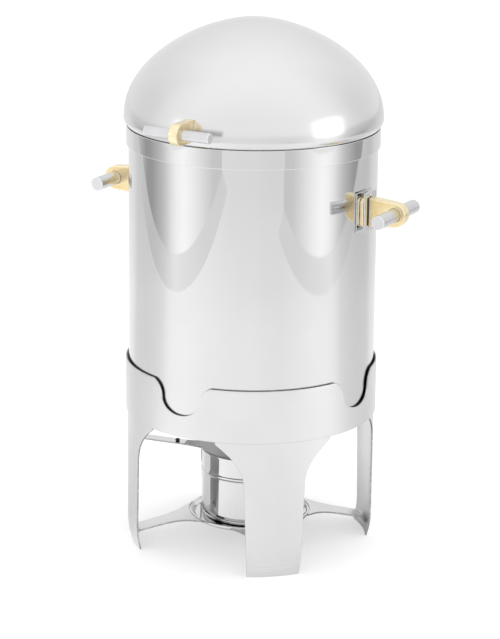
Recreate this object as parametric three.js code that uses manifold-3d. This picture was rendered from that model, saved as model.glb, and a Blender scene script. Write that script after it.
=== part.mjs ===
// A round chafer for soup: a polished water jacket with a hinged dome cover and a soup pan,
// set in a four-legged stand that carries a fuel holder under it.
// Millimetres, +Z up. The origin is on the cylinder's axis at floor level.
// The front, with the cover's handle, faces -Y, the side handles are at +X and -X,
// and the cover's hinge is at +Y. Azimuths are in degrees from the front towards +X.

import * as THREE from "three";
import { mergeVertices } from "three/addons/utils/BufferGeometryUtils.js";
import Module from "manifold-3d";

const wasm = await Module();
wasm.setup();

// Driving dimensions
const GAP = 0.3; // between pieces that touch
const SEGMENTS = 44; // round the large shells
const ROD_SEGMENTS = 24; // round bars, pins and their holes

const RING_R = 148; // outer radius of the stand's collar
const RING_WALL = 1.6;
const RING_BOTTOM = 163.8;
const RING_TOP = 226.5; // top of the four tabs
const NOTCH_DROP = 37.2; // how far a notch dips below the tabs
const NOTCH_FLAT = 26; // half width of a notch where its side is steepest
const NOTCH_CURVE = 20; // width of the rounded shoulder above that

const LEG_COUNT = 4;
const FIRST_LEG = 40; // azimuth of the first leg
const LEG_R = 146.1;
const LEG_WALL = 2;
const LEG_TOP = 178;
const LEG_BEND = 28; // the foot starts to curve in here
const FOOT_LIP = 12; // and turns in more sharply here
const FOOT_CURVE = 1.4; // how far the curve brings it in
const LIP_TURN = 3.2; // and the lip
const LEG_FLARE_Z = 111; // above here the leg widens towards the collar

const SHELF_R = 132; // inner radius of the shelf the jacket stands on
const SHELF_BOTTOM = 178.4;
const SHELF_WALL = 2;
const SHELF_SLACK = 0.9; // inside the collar

const JACKET_R = 144.5;
const JACKET_WALL = 1.2;
const JACKET_BOTTOM = SHELF_BOTTOM + SHELF_WALL + GAP;
const JACKET_TOP = 489;
const COLLAR_R = 147.1;
const COLLAR_WALL = 1.2;
const COLLAR_BOTTOM = 481.7;
const COLLAR_TOP = 503.7;

const PAN_R = 125.5;
const PAN_RIM_R = 145.2;
const PAN_WALL = 1.2;
const PAN_DEPTH = 222;
const PAN_TOP = JACKET_TOP + GAP + PAN_WALL;

const DOME_R = 150; // widest, just above the joint
const DOME_WIDEST_Z = 512.5;
const DOME_HEIGHT = 115.4;
const DOME_SIDE_POWER = 1.232; // how soon the side leans in
const DOME_RISE_POWER = 0.974;
const DOME_STEPS = 10; // bands from the widest place to the top
const DOME_WALL = 1.5;
const DOME_EDGE_R = 146;
const DOME_EDGE_Z = COLLAR_TOP + 0.6;
const DOME_CURL_R = 149.2; // where the edge starts to curl in
const DOME_CURL_Z = 508.2;
const SKIRT_R = 143.4; // locating ring under the dome
const SKIRT_BOTTOM = 497;
const SKIRT_WALL = 1.5;

const HINGE_Y = 171;
const HINGE_Z = 507;
const HINGE_EAR_R = 10;
const HINGE_EAR_X = 18; // inner face of each ear
const HINGE_EAR_WALL = 3;
const KNUCKLE_R = 6.5;
const PIN_R = 3;
const PIN_CLEARANCE = 0.08;
const RIVET_R = 2;
const RIVET_HEAD_R = 3.6;
const FIXED_LEAF_WALL = 1.8;
const FIXED_LEAF_HALF_ANGLE = 15;
const MOVING_LEAF_WALL = 1.8;
const MOVING_LEAF_HALF_ANGLE = 6.8;
const MOVING_LEAF_HEIGHT = 32;

const SIDE_BAR_R = 8;
const SIDE_BAR_LENGTH = 94;
const SIDE_BAR_X = 184;
const SIDE_BAR_Z = 419.3;
const SIDE_RING_R = 14;
const SIDE_BRACKET_WIDTH = 12.4;
const SIDE_BRACKET_HALF_HEIGHT = 16.7;
const PLATE_HALF_HEIGHT = 23;
const PLATE_HALF_ANGLE = 8;
const PLATE_WALL = 0.9;
const BLOCK_HALF_WIDTH = 14;
const BLOCK_OUTER_X = 149;
const CLAMP_WALL = 1.7;
const GASKET_WALL = 1.5;
const SCREW_R = 1.6;
const SCREW_Z = 19.6; // each clamp screw above and below the handle's centre

const LID_BAR_R = 6.1;
const LID_BAR_LENGTH = 82;
const LID_BAR_Y = -174;
const LID_BAR_Z = 522.6;
const LID_RING_R = 12.2;
const LID_BRACKET_WIDTH = 10.6;
const LID_BRACKET_HALF_HEIGHT = 12.4;
const LID_BRACKET_BASE_Y = -152.8;
const LID_SCREW_Z = 7;

const TRAY_R = 71.4;
const TRAY_RIM_Z = 33.4;
const TRAY_FLOOR_Z = 29;
const TRAY_WALL = 1.4;
const ARM_WALL = 2;
const ARM_SLACK = 0.8; // outside the tray
const ARM_HALF_WIDTH = 13;
const ARM_FLARE = 24;
const ARM_BEND_R = 133; // radius where an arm turns down to the foot
const ARM_BEND_Z = 17.8;
const ARM_INNER_Z = 31.9;
const ARM_END_R = 140.2;
const ARM_END_Z = 8.5;

const CUP_R = 57.3;
const CUP_WALL = 1.2;
const CUP_BOTTOM = TRAY_FLOOR_Z + GAP;
const CUP_TOP = 110;
const CUP_BEAD_Z = 87;
const CUP_BEAD = 1.3;
const LID_PLATE_R = 58.8; // the damper lid's disc
const LID_PLATE_WALL = 1.5;
const LEVER_AZIMUTH = -83;
const LEVER_REACH = 134;
const LEVER_HALF_WIDTH = 8;
const LEVER_OFFSET = 17; // the lever runs this far to the front of the cup's middle
const LEVER_TAPER_END = 88;
const DAMPER_PIVOT_R = 50;
const DAMPER_PIN_R = 2.4;
const KNOB_R = 3.3;
const KNOB_ALONG = 87;
const LUG_BOTTOM = 103;
const LUG_TOP = 106;

const steel = { color: 0xd9d9d8, roughness: 0.12, metalness: 1 };
const satin = { color: 0xd6d6d4, roughness: 0.32, metalness: 1 };
const brass = { color: 0xdcc28a, roughness: 0.22, metalness: 1 };
const black = { color: 0x1c1a19, roughness: 0.5, metalness: 0 };

const group = new THREE.Group();

function add(name, geometry, finish) {
  const mesh = new THREE.Mesh(geometry, new THREE.MeshStandardMaterial(finish));
  mesh.name = name;
  group.add(mesh);
}

const radians = THREE.MathUtils.degToRad;

// A point at an azimuth, radius and height.
function polar(azimuth, radius, z) {
  const a = radians(azimuth);
  return [radius * Math.sin(a), -radius * Math.cos(a), z];
}

// A closed mesh as a manifold-3d solid, turned right side out.
function solid(geometry) {
  const plain = new THREE.BufferGeometry();
  plain.setAttribute("position", geometry.getAttribute("position"));
  plain.setIndex(geometry.index);
  const merged = mergeVertices(plain, 1e-4);
  const triVerts = new Uint32Array(merged.index.array);
  const vertProperties = merged.attributes.position.array;
  const made = new wasm.Manifold(new wasm.Mesh({ numProp: 3, vertProperties, triVerts }));
  if (made.volume() >= 0) return made;
  for (let i = 0; i < triVerts.length; i += 3) {
    [triVerts[i + 1], triVerts[i + 2]] = [triVerts[i + 2], triVerts[i + 1]];
  }
  return new wasm.Manifold(new wasm.Mesh({ numProp: 3, vertProperties, triVerts }));
}

// A manifold-3d solid as a geometry.
function geometryOf(made) {
  const mesh = made.getMesh();
  const geometry = new THREE.BufferGeometry();
  geometry.setAttribute("position", new THREE.BufferAttribute(mesh.vertProperties, 3));
  geometry.setIndex(new THREE.BufferAttribute(mesh.triVerts, 1));
  geometry.computeVertexNormals();
  return geometry;
}

// A profile of [radius, z] points turned round the vertical axis.
function turned(profile, segments = SEGMENTS) {
  const points = profile.map(([r, z]) => new THREE.Vector2(r, z));
  if (profile[0][0] > 0) points.push(points[0].clone());
  return solid(new THREE.LatheGeometry(points, segments).rotateX(Math.PI / 2));
}

// An outline in a plane, extruded to a thickness that is centred on that plane.
function slab(shape, thickness, curveSegments = 10) {
  const geometry = new THREE.ExtrudeGeometry(shape, {
    depth: thickness,
    bevelEnabled: false,
    curveSegments,
  });
  return geometry.translate(0, 0, -thickness / 2);
}

// A round pin along Z from one height to another, with an optional chamfer.
function pin(radius, low, high, segments = ROD_SEGMENTS, chamfer = 0) {
  const profile = [[0, low], [radius - chamfer, low]];
  if (chamfer > 0) profile.push([radius, low + chamfer], [radius, high - chamfer]);
  profile.push([radius - chamfer, high], [0, high]);
  return turned(profile, segments);
}

// A sheet between two surfaces over a grid: front(u, v) and back(u, v) give points, u and v from 0 to 1.
// A sheet that is closed in u joins its last column to its first.
function sheet(columns, rows, front, back, closed = false) {
  const positions = [];
  const index = [];
  const across = closed ? columns : columns + 1;
  for (const surface of [front, back]) {
    for (let i = 0; i < across; i++) {
      for (let j = 0; j <= rows; j++) positions.push(...surface(i / columns, j / rows));
    }
  }
  const at = (side, i, j) => (side * across + (i % across)) * (rows + 1) + j;
  const quad = (a, b, c, d) => index.push(a, b, c, a, c, d);
  for (let i = 0; i < columns; i++) {
    for (let j = 0; j < rows; j++) {
      quad(at(0, i, j), at(0, i + 1, j), at(0, i + 1, j + 1), at(0, i, j + 1));
      quad(at(1, i, j), at(1, i, j + 1), at(1, i + 1, j + 1), at(1, i + 1, j));
    }
    quad(at(0, i, 0), at(1, i, 0), at(1, i + 1, 0), at(0, i + 1, 0));
    quad(at(0, i, rows), at(0, i + 1, rows), at(1, i + 1, rows), at(1, i, rows));
  }
  for (let j = 0; j < rows && !closed; j++) {
    quad(at(0, 0, j), at(0, 0, j + 1), at(1, 0, j + 1), at(1, 0, j));
    quad(at(0, columns, j), at(1, columns, j), at(1, columns, j + 1), at(0, columns, j + 1));
  }
  const geometry = new THREE.BufferGeometry();
  geometry.setAttribute("position", new THREE.Float32BufferAttribute(positions, 3));
  geometry.setIndex(index);
  return solid(geometry);
}

const mix = (a, b, t) => a + (b - a) * t;

// --- Stand ---

// Distance from a notch's centre along the collar and height above its bottom, for t from 0 to 1:
// a hollow quarter ellipse, then a rounded shoulder that meets the tab's straight top at a corner.
function notchSide(t) {
  const half = NOTCH_DROP / 2;
  const shoulderEnd = 1.28;
  if (t < 0.5) {
    const a = t * Math.PI;
    return [NOTCH_FLAT * Math.sin(a), half * (1 - Math.cos(a))];
  }
  const a = (t - 0.5) * 2 * shoulderEnd;
  const rise = Math.sin(a) / Math.sin(shoulderEnd);
  return [NOTCH_FLAT + NOTCH_CURVE * (1 - Math.cos(a)), half + half * rise];
}

// The collar's top edge as [azimuth, z] all the way round: notches halfway between the legs.
function ringOutline() {
  const outline = [];
  const steps = 9;
  const tabSteps = 8;
  const spacing = 360 / LEG_COUNT;
  const perDegree = radians(1) * RING_R;
  const reach = notchSide(1)[0] / perDegree;
  for (let k = 0; k < LEG_COUNT; k++) {
    const centre = FIRST_LEG + spacing * (k + 0.5);
    for (let i = -steps; i <= steps; i++) {
      const [along, height] = notchSide(Math.abs(i) / steps);
      outline.push([centre + (Math.sign(i) * along) / perDegree, RING_TOP - NOTCH_DROP + height]);
    }
    for (let i = 1; i < tabSteps; i++) {
      outline.push([mix(centre + reach, centre + spacing - reach, i / tabSteps), RING_TOP]);
    }
  }
  return outline;
}

function standRing() {
  const outline = ringOutline();
  const wall = (radius) => (u, v) => {
    const [azimuth, top] = outline[Math.round(u * outline.length)];
    return polar(azimuth, radius, mix(RING_BOTTOM, top, v));
  };
  return sheet(outline.length, 1, wall(RING_R), wall(RING_R - RING_WALL), true);
}

// Half the leg's width in degrees: slim, widening a little upwards, and flared under the collar.
function legHalfAngle(z) {
  const slim = 12.3 + 2.6 * (z / LEG_FLARE_Z);
  const flare = (Math.min(z, RING_BOTTOM) - LEG_FLARE_Z) / (RING_BOTTOM - LEG_FLARE_Z);
  return slim + 11.7 * Math.max(0, flare) ** 1.4;
}

// The leg's outer radius: straight, then curving in, then the turned-in lip of the foot.
function legRadius(z) {
  if (z < FOOT_LIP) return LEG_R - FOOT_CURVE - LIP_TURN * (1 - z / FOOT_LIP);
  return LEG_R - FOOT_CURVE * Math.max(0, (LEG_BEND - z) / (LEG_BEND - FOOT_LIP)) ** 1.5;
}

const legHeights = [0, FOOT_LIP, 20, LEG_BEND, 74, LEG_FLARE_Z, 125, 137, 149, 157, RING_BOTTOM, LEG_TOP];

function leg(azimuth) {
  const rows = legHeights.length - 1;
  const face = (inward) => (u, v) => {
    const z = legHeights[Math.round(v * rows)];
    return polar(azimuth + (2 * u - 1) * legHalfAngle(z), legRadius(z) - inward, z);
  };
  return sheet(6, rows, face(0), face(LEG_WALL));
}

function shelf() {
  const outer = RING_R - RING_WALL - SHELF_SLACK;
  const top = SHELF_BOTTOM + SHELF_WALL;
  return turned([[SHELF_R, SHELF_BOTTOM], [outer, SHELF_BOTTOM], [outer, top], [SHELF_R, top]]);
}

// Half the arm's width at a radius: it flares where it meets the tray.
function armHalfWidth(radius) {
  const t = Math.max(0, (ARM_BEND_R - radius) / (ARM_BEND_R - TRAY_R));
  return ARM_HALF_WIDTH + ARM_FLARE * t ** 3.2;
}

// The arm's middle line as [radius, z]: a straight slope outwards, then a quarter turn down.
function armLine(t) {
  const bend = 0.6;
  if (t < bend) {
    const s = t / bend;
    return [mix(TRAY_R + ARM_SLACK, ARM_BEND_R, s), mix(ARM_INNER_Z, ARM_BEND_Z, s)];
  }
  const a = ((t - bend) / (1 - bend)) * (Math.PI / 2);
  return [
    ARM_BEND_R + (ARM_END_R - ARM_BEND_R) * Math.sin(a),
    ARM_END_Z + (ARM_BEND_Z - ARM_END_Z) * Math.cos(a),
  ];
}

function trayArm(azimuth) {
  const face = (side) => (u, v) => {
    const [radius, z] = armLine(v);
    const [nextRadius, nextZ] = armLine(Math.min(1, v + 0.02));
    const [lastRadius, lastZ] = armLine(Math.max(0, v - 0.02));
    const along = Math.hypot(nextRadius - lastRadius, nextZ - lastZ);
    const shift = (side * ARM_WALL) / 2 / along;
    const r = radius - (nextZ - lastZ) * shift * (v > 0 ? 1 : 0);
    const width = Math.asin(((2 * u - 1) * armHalfWidth(radius)) / radius);
    return polar(azimuth + THREE.MathUtils.radToDeg(width), r, z + (nextRadius - lastRadius) * shift);
  };
  return sheet(4, 10, face(1), face(-1));
}

function burnerTray() {
  const low = TRAY_FLOOR_Z - TRAY_WALL;
  return turned([
    [0, low],
    [TRAY_R - 5, low],
    [TRAY_R - 2, low + 1],
    [TRAY_R, low + 3.4],
    [TRAY_R, TRAY_RIM_Z - 0.6],
    [TRAY_R - 0.7, TRAY_RIM_Z],
    [TRAY_R - 2, TRAY_RIM_Z],
    [TRAY_R - 3.2, TRAY_RIM_Z - 2.4],
    [TRAY_R - 6, TRAY_FLOOR_Z],
    [0, TRAY_FLOOR_Z],
  ]);
}

function addStand() {
  add("stand_ring", geometryOf(standRing()), satin);
  add("jacket_shelf", geometryOf(shelf()), satin);
  add("burner_tray", geometryOf(burnerTray()), steel);
  for (let k = 0; k < LEG_COUNT; k++) {
    const azimuth = FIRST_LEG + (360 / LEG_COUNT) * k;
    add(`leg_${k + 1}`, geometryOf(leg(azimuth)), satin);
    add(`tray_arm_${k + 1}`, geometryOf(trayArm(azimuth)), satin);
  }
}

// --- Water jacket, collar and soup pan ---

function waterJacket() {
  const inner = JACKET_R - JACKET_WALL;
  const floor = JACKET_BOTTOM + JACKET_WALL;
  return turned([
    [0, JACKET_BOTTOM],
    [JACKET_R - 4, JACKET_BOTTOM],
    [JACKET_R - 1.2, JACKET_BOTTOM + 1.2],
    [JACKET_R, JACKET_BOTTOM + 4],
    [JACKET_R, JACKET_TOP],
    [inner, JACKET_TOP],
    [inner, floor + 3],
    [inner - 3, floor],
    [0, floor],
  ]);
}

function jacketCollar() {
  const step = JACKET_TOP + GAP;
  return turned([
    [JACKET_R + GAP, COLLAR_BOTTOM],
    [COLLAR_R, COLLAR_BOTTOM],
    [COLLAR_R, COLLAR_TOP],
    [COLLAR_R - COLLAR_WALL, COLLAR_TOP],
    [COLLAR_R - COLLAR_WALL, step],
    [JACKET_R + GAP, step],
  ]);
}

function soupPan() {
  const low = PAN_TOP - PAN_DEPTH;
  const inner = PAN_R - PAN_WALL;
  const corner = 18;
  const profile = [[0, low]];
  for (let i = 0; i <= 3; i++) {
    const a = (i / 3) * (Math.PI / 2);
    profile.push([PAN_R - corner + corner * Math.sin(a), low + corner - corner * Math.cos(a)]);
  }
  profile.push([PAN_R, PAN_TOP - PAN_WALL], [PAN_RIM_R, PAN_TOP - PAN_WALL], [PAN_RIM_R, PAN_TOP]);
  profile.push([inner, PAN_TOP]);
  for (let i = 3; i >= 0; i--) {
    const a = (i / 3) * (Math.PI / 2);
    const r = corner - PAN_WALL;
    profile.push([PAN_R - corner + r * Math.sin(a), low + corner - r * Math.cos(a)]);
  }
  profile.push([0, low + PAN_WALL]);
  return turned(profile);
}

// A side handle's pieces, built for the +X side and turned half round for the other.
function addSideHandle(side, turn) {
  const place = (made) => geometryOf(made).rotateZ(turn);
  const lift = [0, 0, SIDE_BAR_Z];
  const plateInner = JACKET_R + GAP;
  const plateOuter = plateInner + PLATE_WALL;
  const low = SIDE_BAR_Z - PLATE_HALF_HEIGHT;
  const high = SIDE_BAR_Z + PLATE_HALF_HEIGHT;

  const saddle = (radius) => (u, v) =>
    polar(90 + (2 * u - 1) * PLATE_HALF_ANGLE, radius, mix(low, high, v));
  add(`${side}_mount_plate`, place(sheet(4, 1, saddle(plateOuter), saddle(plateInner))), steel);

  // A screw runs from the clamp plate into the spacer block, above and below the bracket.
  const clampX = BLOCK_OUTER_X + GAP;
  const screwEnd = plateOuter + 1.2; // short of the mount plate's curve
  const along = (made) => made.rotate([0, 90, 0]).translate(lift);
  const screwHoles = [-SCREW_Z, SCREW_Z].map((z) =>
    along(pin(SCREW_R + GAP, 140, 160, 8)).translate([0, 0, z]),
  );
  const drilled = (made) => made.subtract(screwHoles[0]).subtract(screwHoles[1]);

  const blockBack = (u, v) => {
    const y = (2 * u - 1) * BLOCK_HALF_WIDTH;
    return [Math.sqrt((plateOuter + GAP) ** 2 - y * y), y, mix(low, high, v)];
  };
  const blockFront = (u, v) => [BLOCK_OUTER_X, (2 * u - 1) * BLOCK_HALF_WIDTH, mix(low, high, v)];
  add(`${side}_spacer_block`, place(drilled(sheet(4, 1, blockFront, blockBack))), brass);

  const plate = (thickness, halfWidth, halfHeight, x) =>
    solid(new THREE.BoxGeometry(thickness, 2 * halfWidth, 2 * halfHeight))
      .translate([x + thickness / 2, 0, SIDE_BAR_Z]);
  const clamp = plate(CLAMP_WALL, BLOCK_HALF_WIDTH, PLATE_HALF_HEIGHT, clampX);
  add(`${side}_clamp_plate`, place(drilled(clamp)), steel);

  const gasketX = clampX + CLAMP_WALL + GAP;
  const baseHalfHeight = SIDE_BRACKET_HALF_HEIGHT;
  const gasket = plate(GASKET_WALL, SIDE_BRACKET_WIDTH / 2 - 0.6, baseHalfHeight - 0.6, gasketX);
  add(`${side}_gasket`, place(gasket), black);

  const bracketX = gasketX + GASKET_WALL + GAP;
  const bracket = handleBracket(SIDE_BAR_X - bracketX, baseHalfHeight, SIDE_RING_R,
    SIDE_BAR_R + GAP, SIDE_BRACKET_WIDTH);
  add(`${side}_bracket`, place(bracket.translate([bracketX, 0, SIDE_BAR_Z])), brass);

  const bar = pin(SIDE_BAR_R, -SIDE_BAR_LENGTH / 2, SIDE_BAR_LENGTH / 2, ROD_SEGMENTS, 0.8)
    .rotate([90, 0, 0]).translate([SIDE_BAR_X, 0, SIDE_BAR_Z]);
  add(`${side}_bar`, place(bar), steel);

  const headX = clampX + CLAMP_WALL + GAP;
  for (const [where, z] of [["upper", SCREW_Z], ["lower", -SCREW_Z]]) {
    const screw = pin(SCREW_R, screwEnd, headX + 0.5, 12).add(pin(2.5, headX, headX + 1.5, 12));
    add(`${side}_screw_${where}`, place(along(screw).translate([0, 0, z])), steel);
  }
}

// A bracket from a flat base at x = 0 to a round eye that holds a bar, along X, with the bar along Y.
function handleBracket(reach, baseHalfHeight, eyeR, holeR, width) {
  // the straight sides touch the eye where its radius stands square to them
  const slope = Math.asin((baseHalfHeight - eyeR) / reach);
  const touch = Math.PI / 2 - slope;
  const shape = new THREE.Shape();
  shape.moveTo(0, baseHalfHeight);
  shape.lineTo(0, -baseHalfHeight);
  shape.absarc(reach, 0, eyeR, -touch, touch, false);
  shape.closePath();
  const hole = new THREE.Path();
  hole.absarc(reach, 0, holeR, 0, 2 * Math.PI, true);
  shape.holes.push(hole);
  return solid(slab(shape, width, 12)).rotate([90, 0, 0]);
}

function addVessel() {
  add("water_jacket", geometryOf(waterJacket()), steel);
  add("jacket_collar", geometryOf(jacketCollar()), steel);
  add("soup_pan", geometryOf(soupPan()), satin);
  addSideHandle("right", 0);
  addSideHandle("left", Math.PI);
}

// --- Dome cover ---

// A point [radius, z] on the dome's outside, for t from 0 at its widest to 1 at its top:
// a quarter ellipse with each of its two terms raised to a power.
function domePoint(t) {
  const a = (t * Math.PI) / 2;
  return [
    DOME_R * Math.cos(a) ** DOME_SIDE_POWER,
    DOME_WIDEST_Z + DOME_HEIGHT * Math.sin(a) ** DOME_RISE_POWER,
  ];
}

// The radius of the dome's outside at a height, from the same two powers.
function domeRadius(z) {
  const rise = Math.min(1, Math.max(0, (z - DOME_WIDEST_Z) / DOME_HEIGHT));
  const sine = rise ** (1 / DOME_RISE_POWER);
  return DOME_R * Math.sqrt(1 - sine * sine) ** DOME_SIDE_POWER;
}

function domeShell() {
  const outer = [];
  const inner = [];
  for (let i = 0; i <= DOME_STEPS; i++) {
    const [r, z] = domePoint(i / DOME_STEPS);
    outer.push([i < DOME_STEPS ? r : 0, z]);
    const innerR = r * (1 - DOME_WALL / DOME_R);
    const innerZ = DOME_WIDEST_Z + (z - DOME_WIDEST_Z) * (1 - DOME_WALL / DOME_HEIGHT);
    inner.push([i < DOME_STEPS ? innerR : 0, innerZ]);
  }
  const edge = [
    [DOME_CURL_R - DOME_WALL, DOME_CURL_Z + 0.4],
    [DOME_EDGE_R - DOME_WALL, DOME_EDGE_Z],
    [DOME_EDGE_R, DOME_EDGE_Z],
    [DOME_CURL_R, DOME_CURL_Z],
  ];
  return turned([...inner.reverse(), ...edge, ...outer]);
}

// The cover handle's screws, from inside the dome into the bracket.
function lidScrew(offset, clearance) {
  const axisAlongY = (made) => made.rotate([90, 0, 0]).translate([0, 0, LID_BAR_Z + offset]);
  return axisAlongY(pin(RIVET_R + clearance, 130, 158, 10));
}

function addCover() {
  const screwHoles = lidScrew(-LID_SCREW_Z, GAP).add(lidScrew(LID_SCREW_Z, GAP));
  add("dome_cover", geometryOf(domeShell().subtract(screwHoles)), steel);

  const skirtTop = DOME_EDGE_Z + 1;
  add("cover_skirt", geometryOf(turned([
    [SKIRT_R - SKIRT_WALL, SKIRT_BOTTOM],
    [SKIRT_R, SKIRT_BOTTOM],
    [SKIRT_R, skirtTop],
    [SKIRT_R - SKIRT_WALL, skirtTop],
  ])), satin);

  // A base that follows the dome's curve and gives the bracket a flat seat.
  const half = LID_BRACKET_WIDTH / 2;
  const tall = LID_BRACKET_HALF_HEIGHT;
  const seat = (u, v) => [(2 * u - 1) * half, LID_BRACKET_BASE_Y + GAP, LID_BAR_Z + (2 * v - 1) * tall];
  const back = (u, v) => {
    const [x, , z] = seat(u, v);
    const r = domeRadius(z) + GAP;
    return [x, -Math.sqrt(r * r - x * x), z];
  };
  add("cover_handle_base", geometryOf(sheet(2, 6, seat, back).subtract(screwHoles)), brass);

  const bracket = handleBracket(LID_BRACKET_BASE_Y - LID_BAR_Y, tall, LID_RING_R,
    LID_BAR_R + GAP, LID_BRACKET_WIDTH)
    .rotate([0, 0, -90])
    .translate([0, LID_BRACKET_BASE_Y, LID_BAR_Z])
    .subtract(screwHoles);
  add("cover_bracket", geometryOf(bracket), brass);

  const bar = pin(LID_BAR_R, -LID_BAR_LENGTH / 2, LID_BAR_LENGTH / 2, ROD_SEGMENTS, 0.8)
    .rotate([0, 90, 0]).translate([0, LID_BAR_Y, LID_BAR_Z]);
  add("cover_bar", geometryOf(bar), steel);

  for (const [where, z] of [["upper", LID_SCREW_Z], ["lower", -LID_SCREW_Z]]) {
    const headEnd = domeRadius(LID_BAR_Z + z + 4) - DOME_WALL - 1.2;
    const screw = pin(RIVET_R, headEnd - 1, 156, 12).add(pin(4, headEnd - 2.5, headEnd, 12))
      .rotate([90, 0, 0]).translate([0, 0, LID_BAR_Z + z]);
    add(`cover_screw_${where}`, geometryOf(screw), steel);
  }
}

// --- Hinge at the back ---

const alongX = (made) => made.rotate([0, 90, 0]).translate([0, HINGE_Y, HINGE_Z]);

// Rivets sit in a leaf's two holes, their heads on its outside, at +x and -x of the middle.
function rivets(name, radiusAt, z, azimuthStep, finish) {
  const holes = [];
  for (const [where, sign] of [["right", 1], ["left", -1]]) {
    const azimuth = 180 - sign * azimuthStep;
    const turn = (made) => made.rotate([90, 0, 0]).rotate([0, 0, azimuth]).translate([0, 0, z]);
    const rivet = pin(RIVET_R, radiusAt.inner, radiusAt.outer + 0.5, 12)
      .add(pin(RIVET_HEAD_R, radiusAt.outer, radiusAt.outer + 1.3, 12));
    add(`${name}_${where}`, geometryOf(turn(rivet)), finish);
    holes.push(turn(pin(RIVET_R + GAP, radiusAt.inner - 20, radiusAt.outer + 20, 12)));
  }
  return holes;
}

function addHinge() {
  const pinHole = alongX(pin(PIN_R + PIN_CLEARANCE, -40, 40));
  const pinHalf = HINGE_EAR_X + HINGE_EAR_WALL + 3;
  add("hinge_pin", geometryOf(alongX(pin(PIN_R, -pinHalf, pinHalf, ROD_SEGMENTS, 0.5))), steel);

  // The fixed leaf: a curved plate on the collar with an ear each side of the knuckle.
  const low = COLLAR_BOTTOM + 1.5;
  const high = COLLAR_TOP - 3;
  const inner = COLLAR_R + GAP;
  const outer = inner + FIXED_LEAF_WALL;
  const saddle = (radius) => (u, v) =>
    polar(180 + (2 * u - 1) * FIXED_LEAF_HALF_ANGLE, radius, mix(low, high, v));
  const earShape = new THREE.Shape();
  earShape.moveTo(inner + 0.2, low);
  earShape.lineTo(HINGE_Y + HINGE_EAR_R * 0.5, HINGE_Z - HINGE_EAR_R * 0.87);
  earShape.absarc(HINGE_Y, HINGE_Z, HINGE_EAR_R, -Math.PI / 3, Math.PI * 0.72, false);
  earShape.lineTo(outer + 3.4, high);
  earShape.lineTo(inner + 0.2, high);
  earShape.closePath();
  let leaf = sheet(10, 1, saddle(outer), saddle(inner));
  const middle = HINGE_EAR_X + HINGE_EAR_WALL / 2;
  for (const x of [-middle, middle]) {
    // the outline's own axes are Y and Z, so the slab is stood on edge
    const ear = solid(slab(earShape, HINGE_EAR_WALL, 8)).rotate([90, 0, 90]).translate([x, 0, 0]);
    leaf = leaf.add(ear.subtract(pin(inner, low - 5, high + 5, SEGMENTS)));
  }
  const fixedHoles = rivets("collar_rivet", { inner, outer: outer + GAP }, (low + high) / 2, 12, steel);
  leaf = leaf.subtract(pinHole).subtract(fixedHoles[0]).subtract(fixedHoles[1]);
  add("hinge_leaf_jacket", geometryOf(leaf), steel);

  // The moving leaf: a plate that follows the dome's back, and an arm to the knuckle.
  const plateLow = DOME_WIDEST_Z + 1;
  const plateHigh = plateLow + MOVING_LEAF_HEIGHT;
  const rivetZ = plateHigh - 7;
  const follow = (offset) => (u, v) => {
    const z = mix(plateLow, plateHigh, v);
    return polar(180 + (2 * u - 1) * MOVING_LEAF_HALF_ANGLE, domeRadius(z) + offset, z);
  };
  const armShape = new THREE.Shape();
  armShape.absarc(HINGE_Y, HINGE_Z, KNUCKLE_R, -Math.PI * 0.62, Math.PI * 0.42, false);
  armShape.lineTo(DOME_R + 0.9, plateLow + MOVING_LEAF_HEIGHT / 2);
  armShape.lineTo(DOME_R + 0.9, plateLow);
  armShape.closePath();
  const arm = solid(slab(armShape, 2 * (HINGE_EAR_X - 0.5), 8)).rotate([90, 0, 90]);
  const movingHoles = rivets("cover_rivet", {
    inner: domeRadius(rivetZ) + GAP,
    outer: domeRadius(rivetZ) + MOVING_LEAF_WALL + 1.3,
  }, rivetZ, 4, steel);
  const plate = sheet(6, 5, follow(GAP + MOVING_LEAF_WALL), follow(GAP));
  const lidLeaf = plate.add(arm.subtract(domeShellFilled()))
    .subtract(pinHole).subtract(movingHoles[0]).subtract(movingHoles[1]);
  add("hinge_leaf_cover", geometryOf(lidLeaf), steel);
}

// The dome as one filled shape, a gap larger, to cut what bears on its outside.
function domeShellFilled() {
  const outline = [[0, DOME_EDGE_Z], [DOME_R + GAP, DOME_EDGE_Z]];
  for (let i = 0; i <= DOME_STEPS; i++) {
    const [r, z] = domePoint(i / DOME_STEPS);
    outline.push([i < DOME_STEPS ? r + GAP : 0, z]);
  }
  return turned(outline);
}

// --- Fuel holder ---

const leverDirection = polar(LEVER_AZIMUTH, 1, 0);
const pivot = polar(LEVER_AZIMUTH - 90, DAMPER_PIVOT_R, 0);

function fuelCup() {
  const inner = CUP_R - CUP_WALL;
  return turned([
    [0, CUP_BOTTOM],
    [CUP_R - 6, CUP_BOTTOM],
    [CUP_R - 1.6, CUP_BOTTOM + 1.6],
    [CUP_R, CUP_BOTTOM + 6],
    [CUP_R, CUP_BEAD_Z - 2.4],
    [CUP_R + CUP_BEAD, CUP_BEAD_Z],
    [CUP_R, CUP_BEAD_Z + 2.4],
    [CUP_R, CUP_TOP],
    [inner, CUP_TOP],
    [inner, CUP_BOTTOM + 7],
    [inner - 5, CUP_BOTTOM + CUP_WALL],
    [0, CUP_BOTTOM + CUP_WALL],
  ], 40);
}

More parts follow.
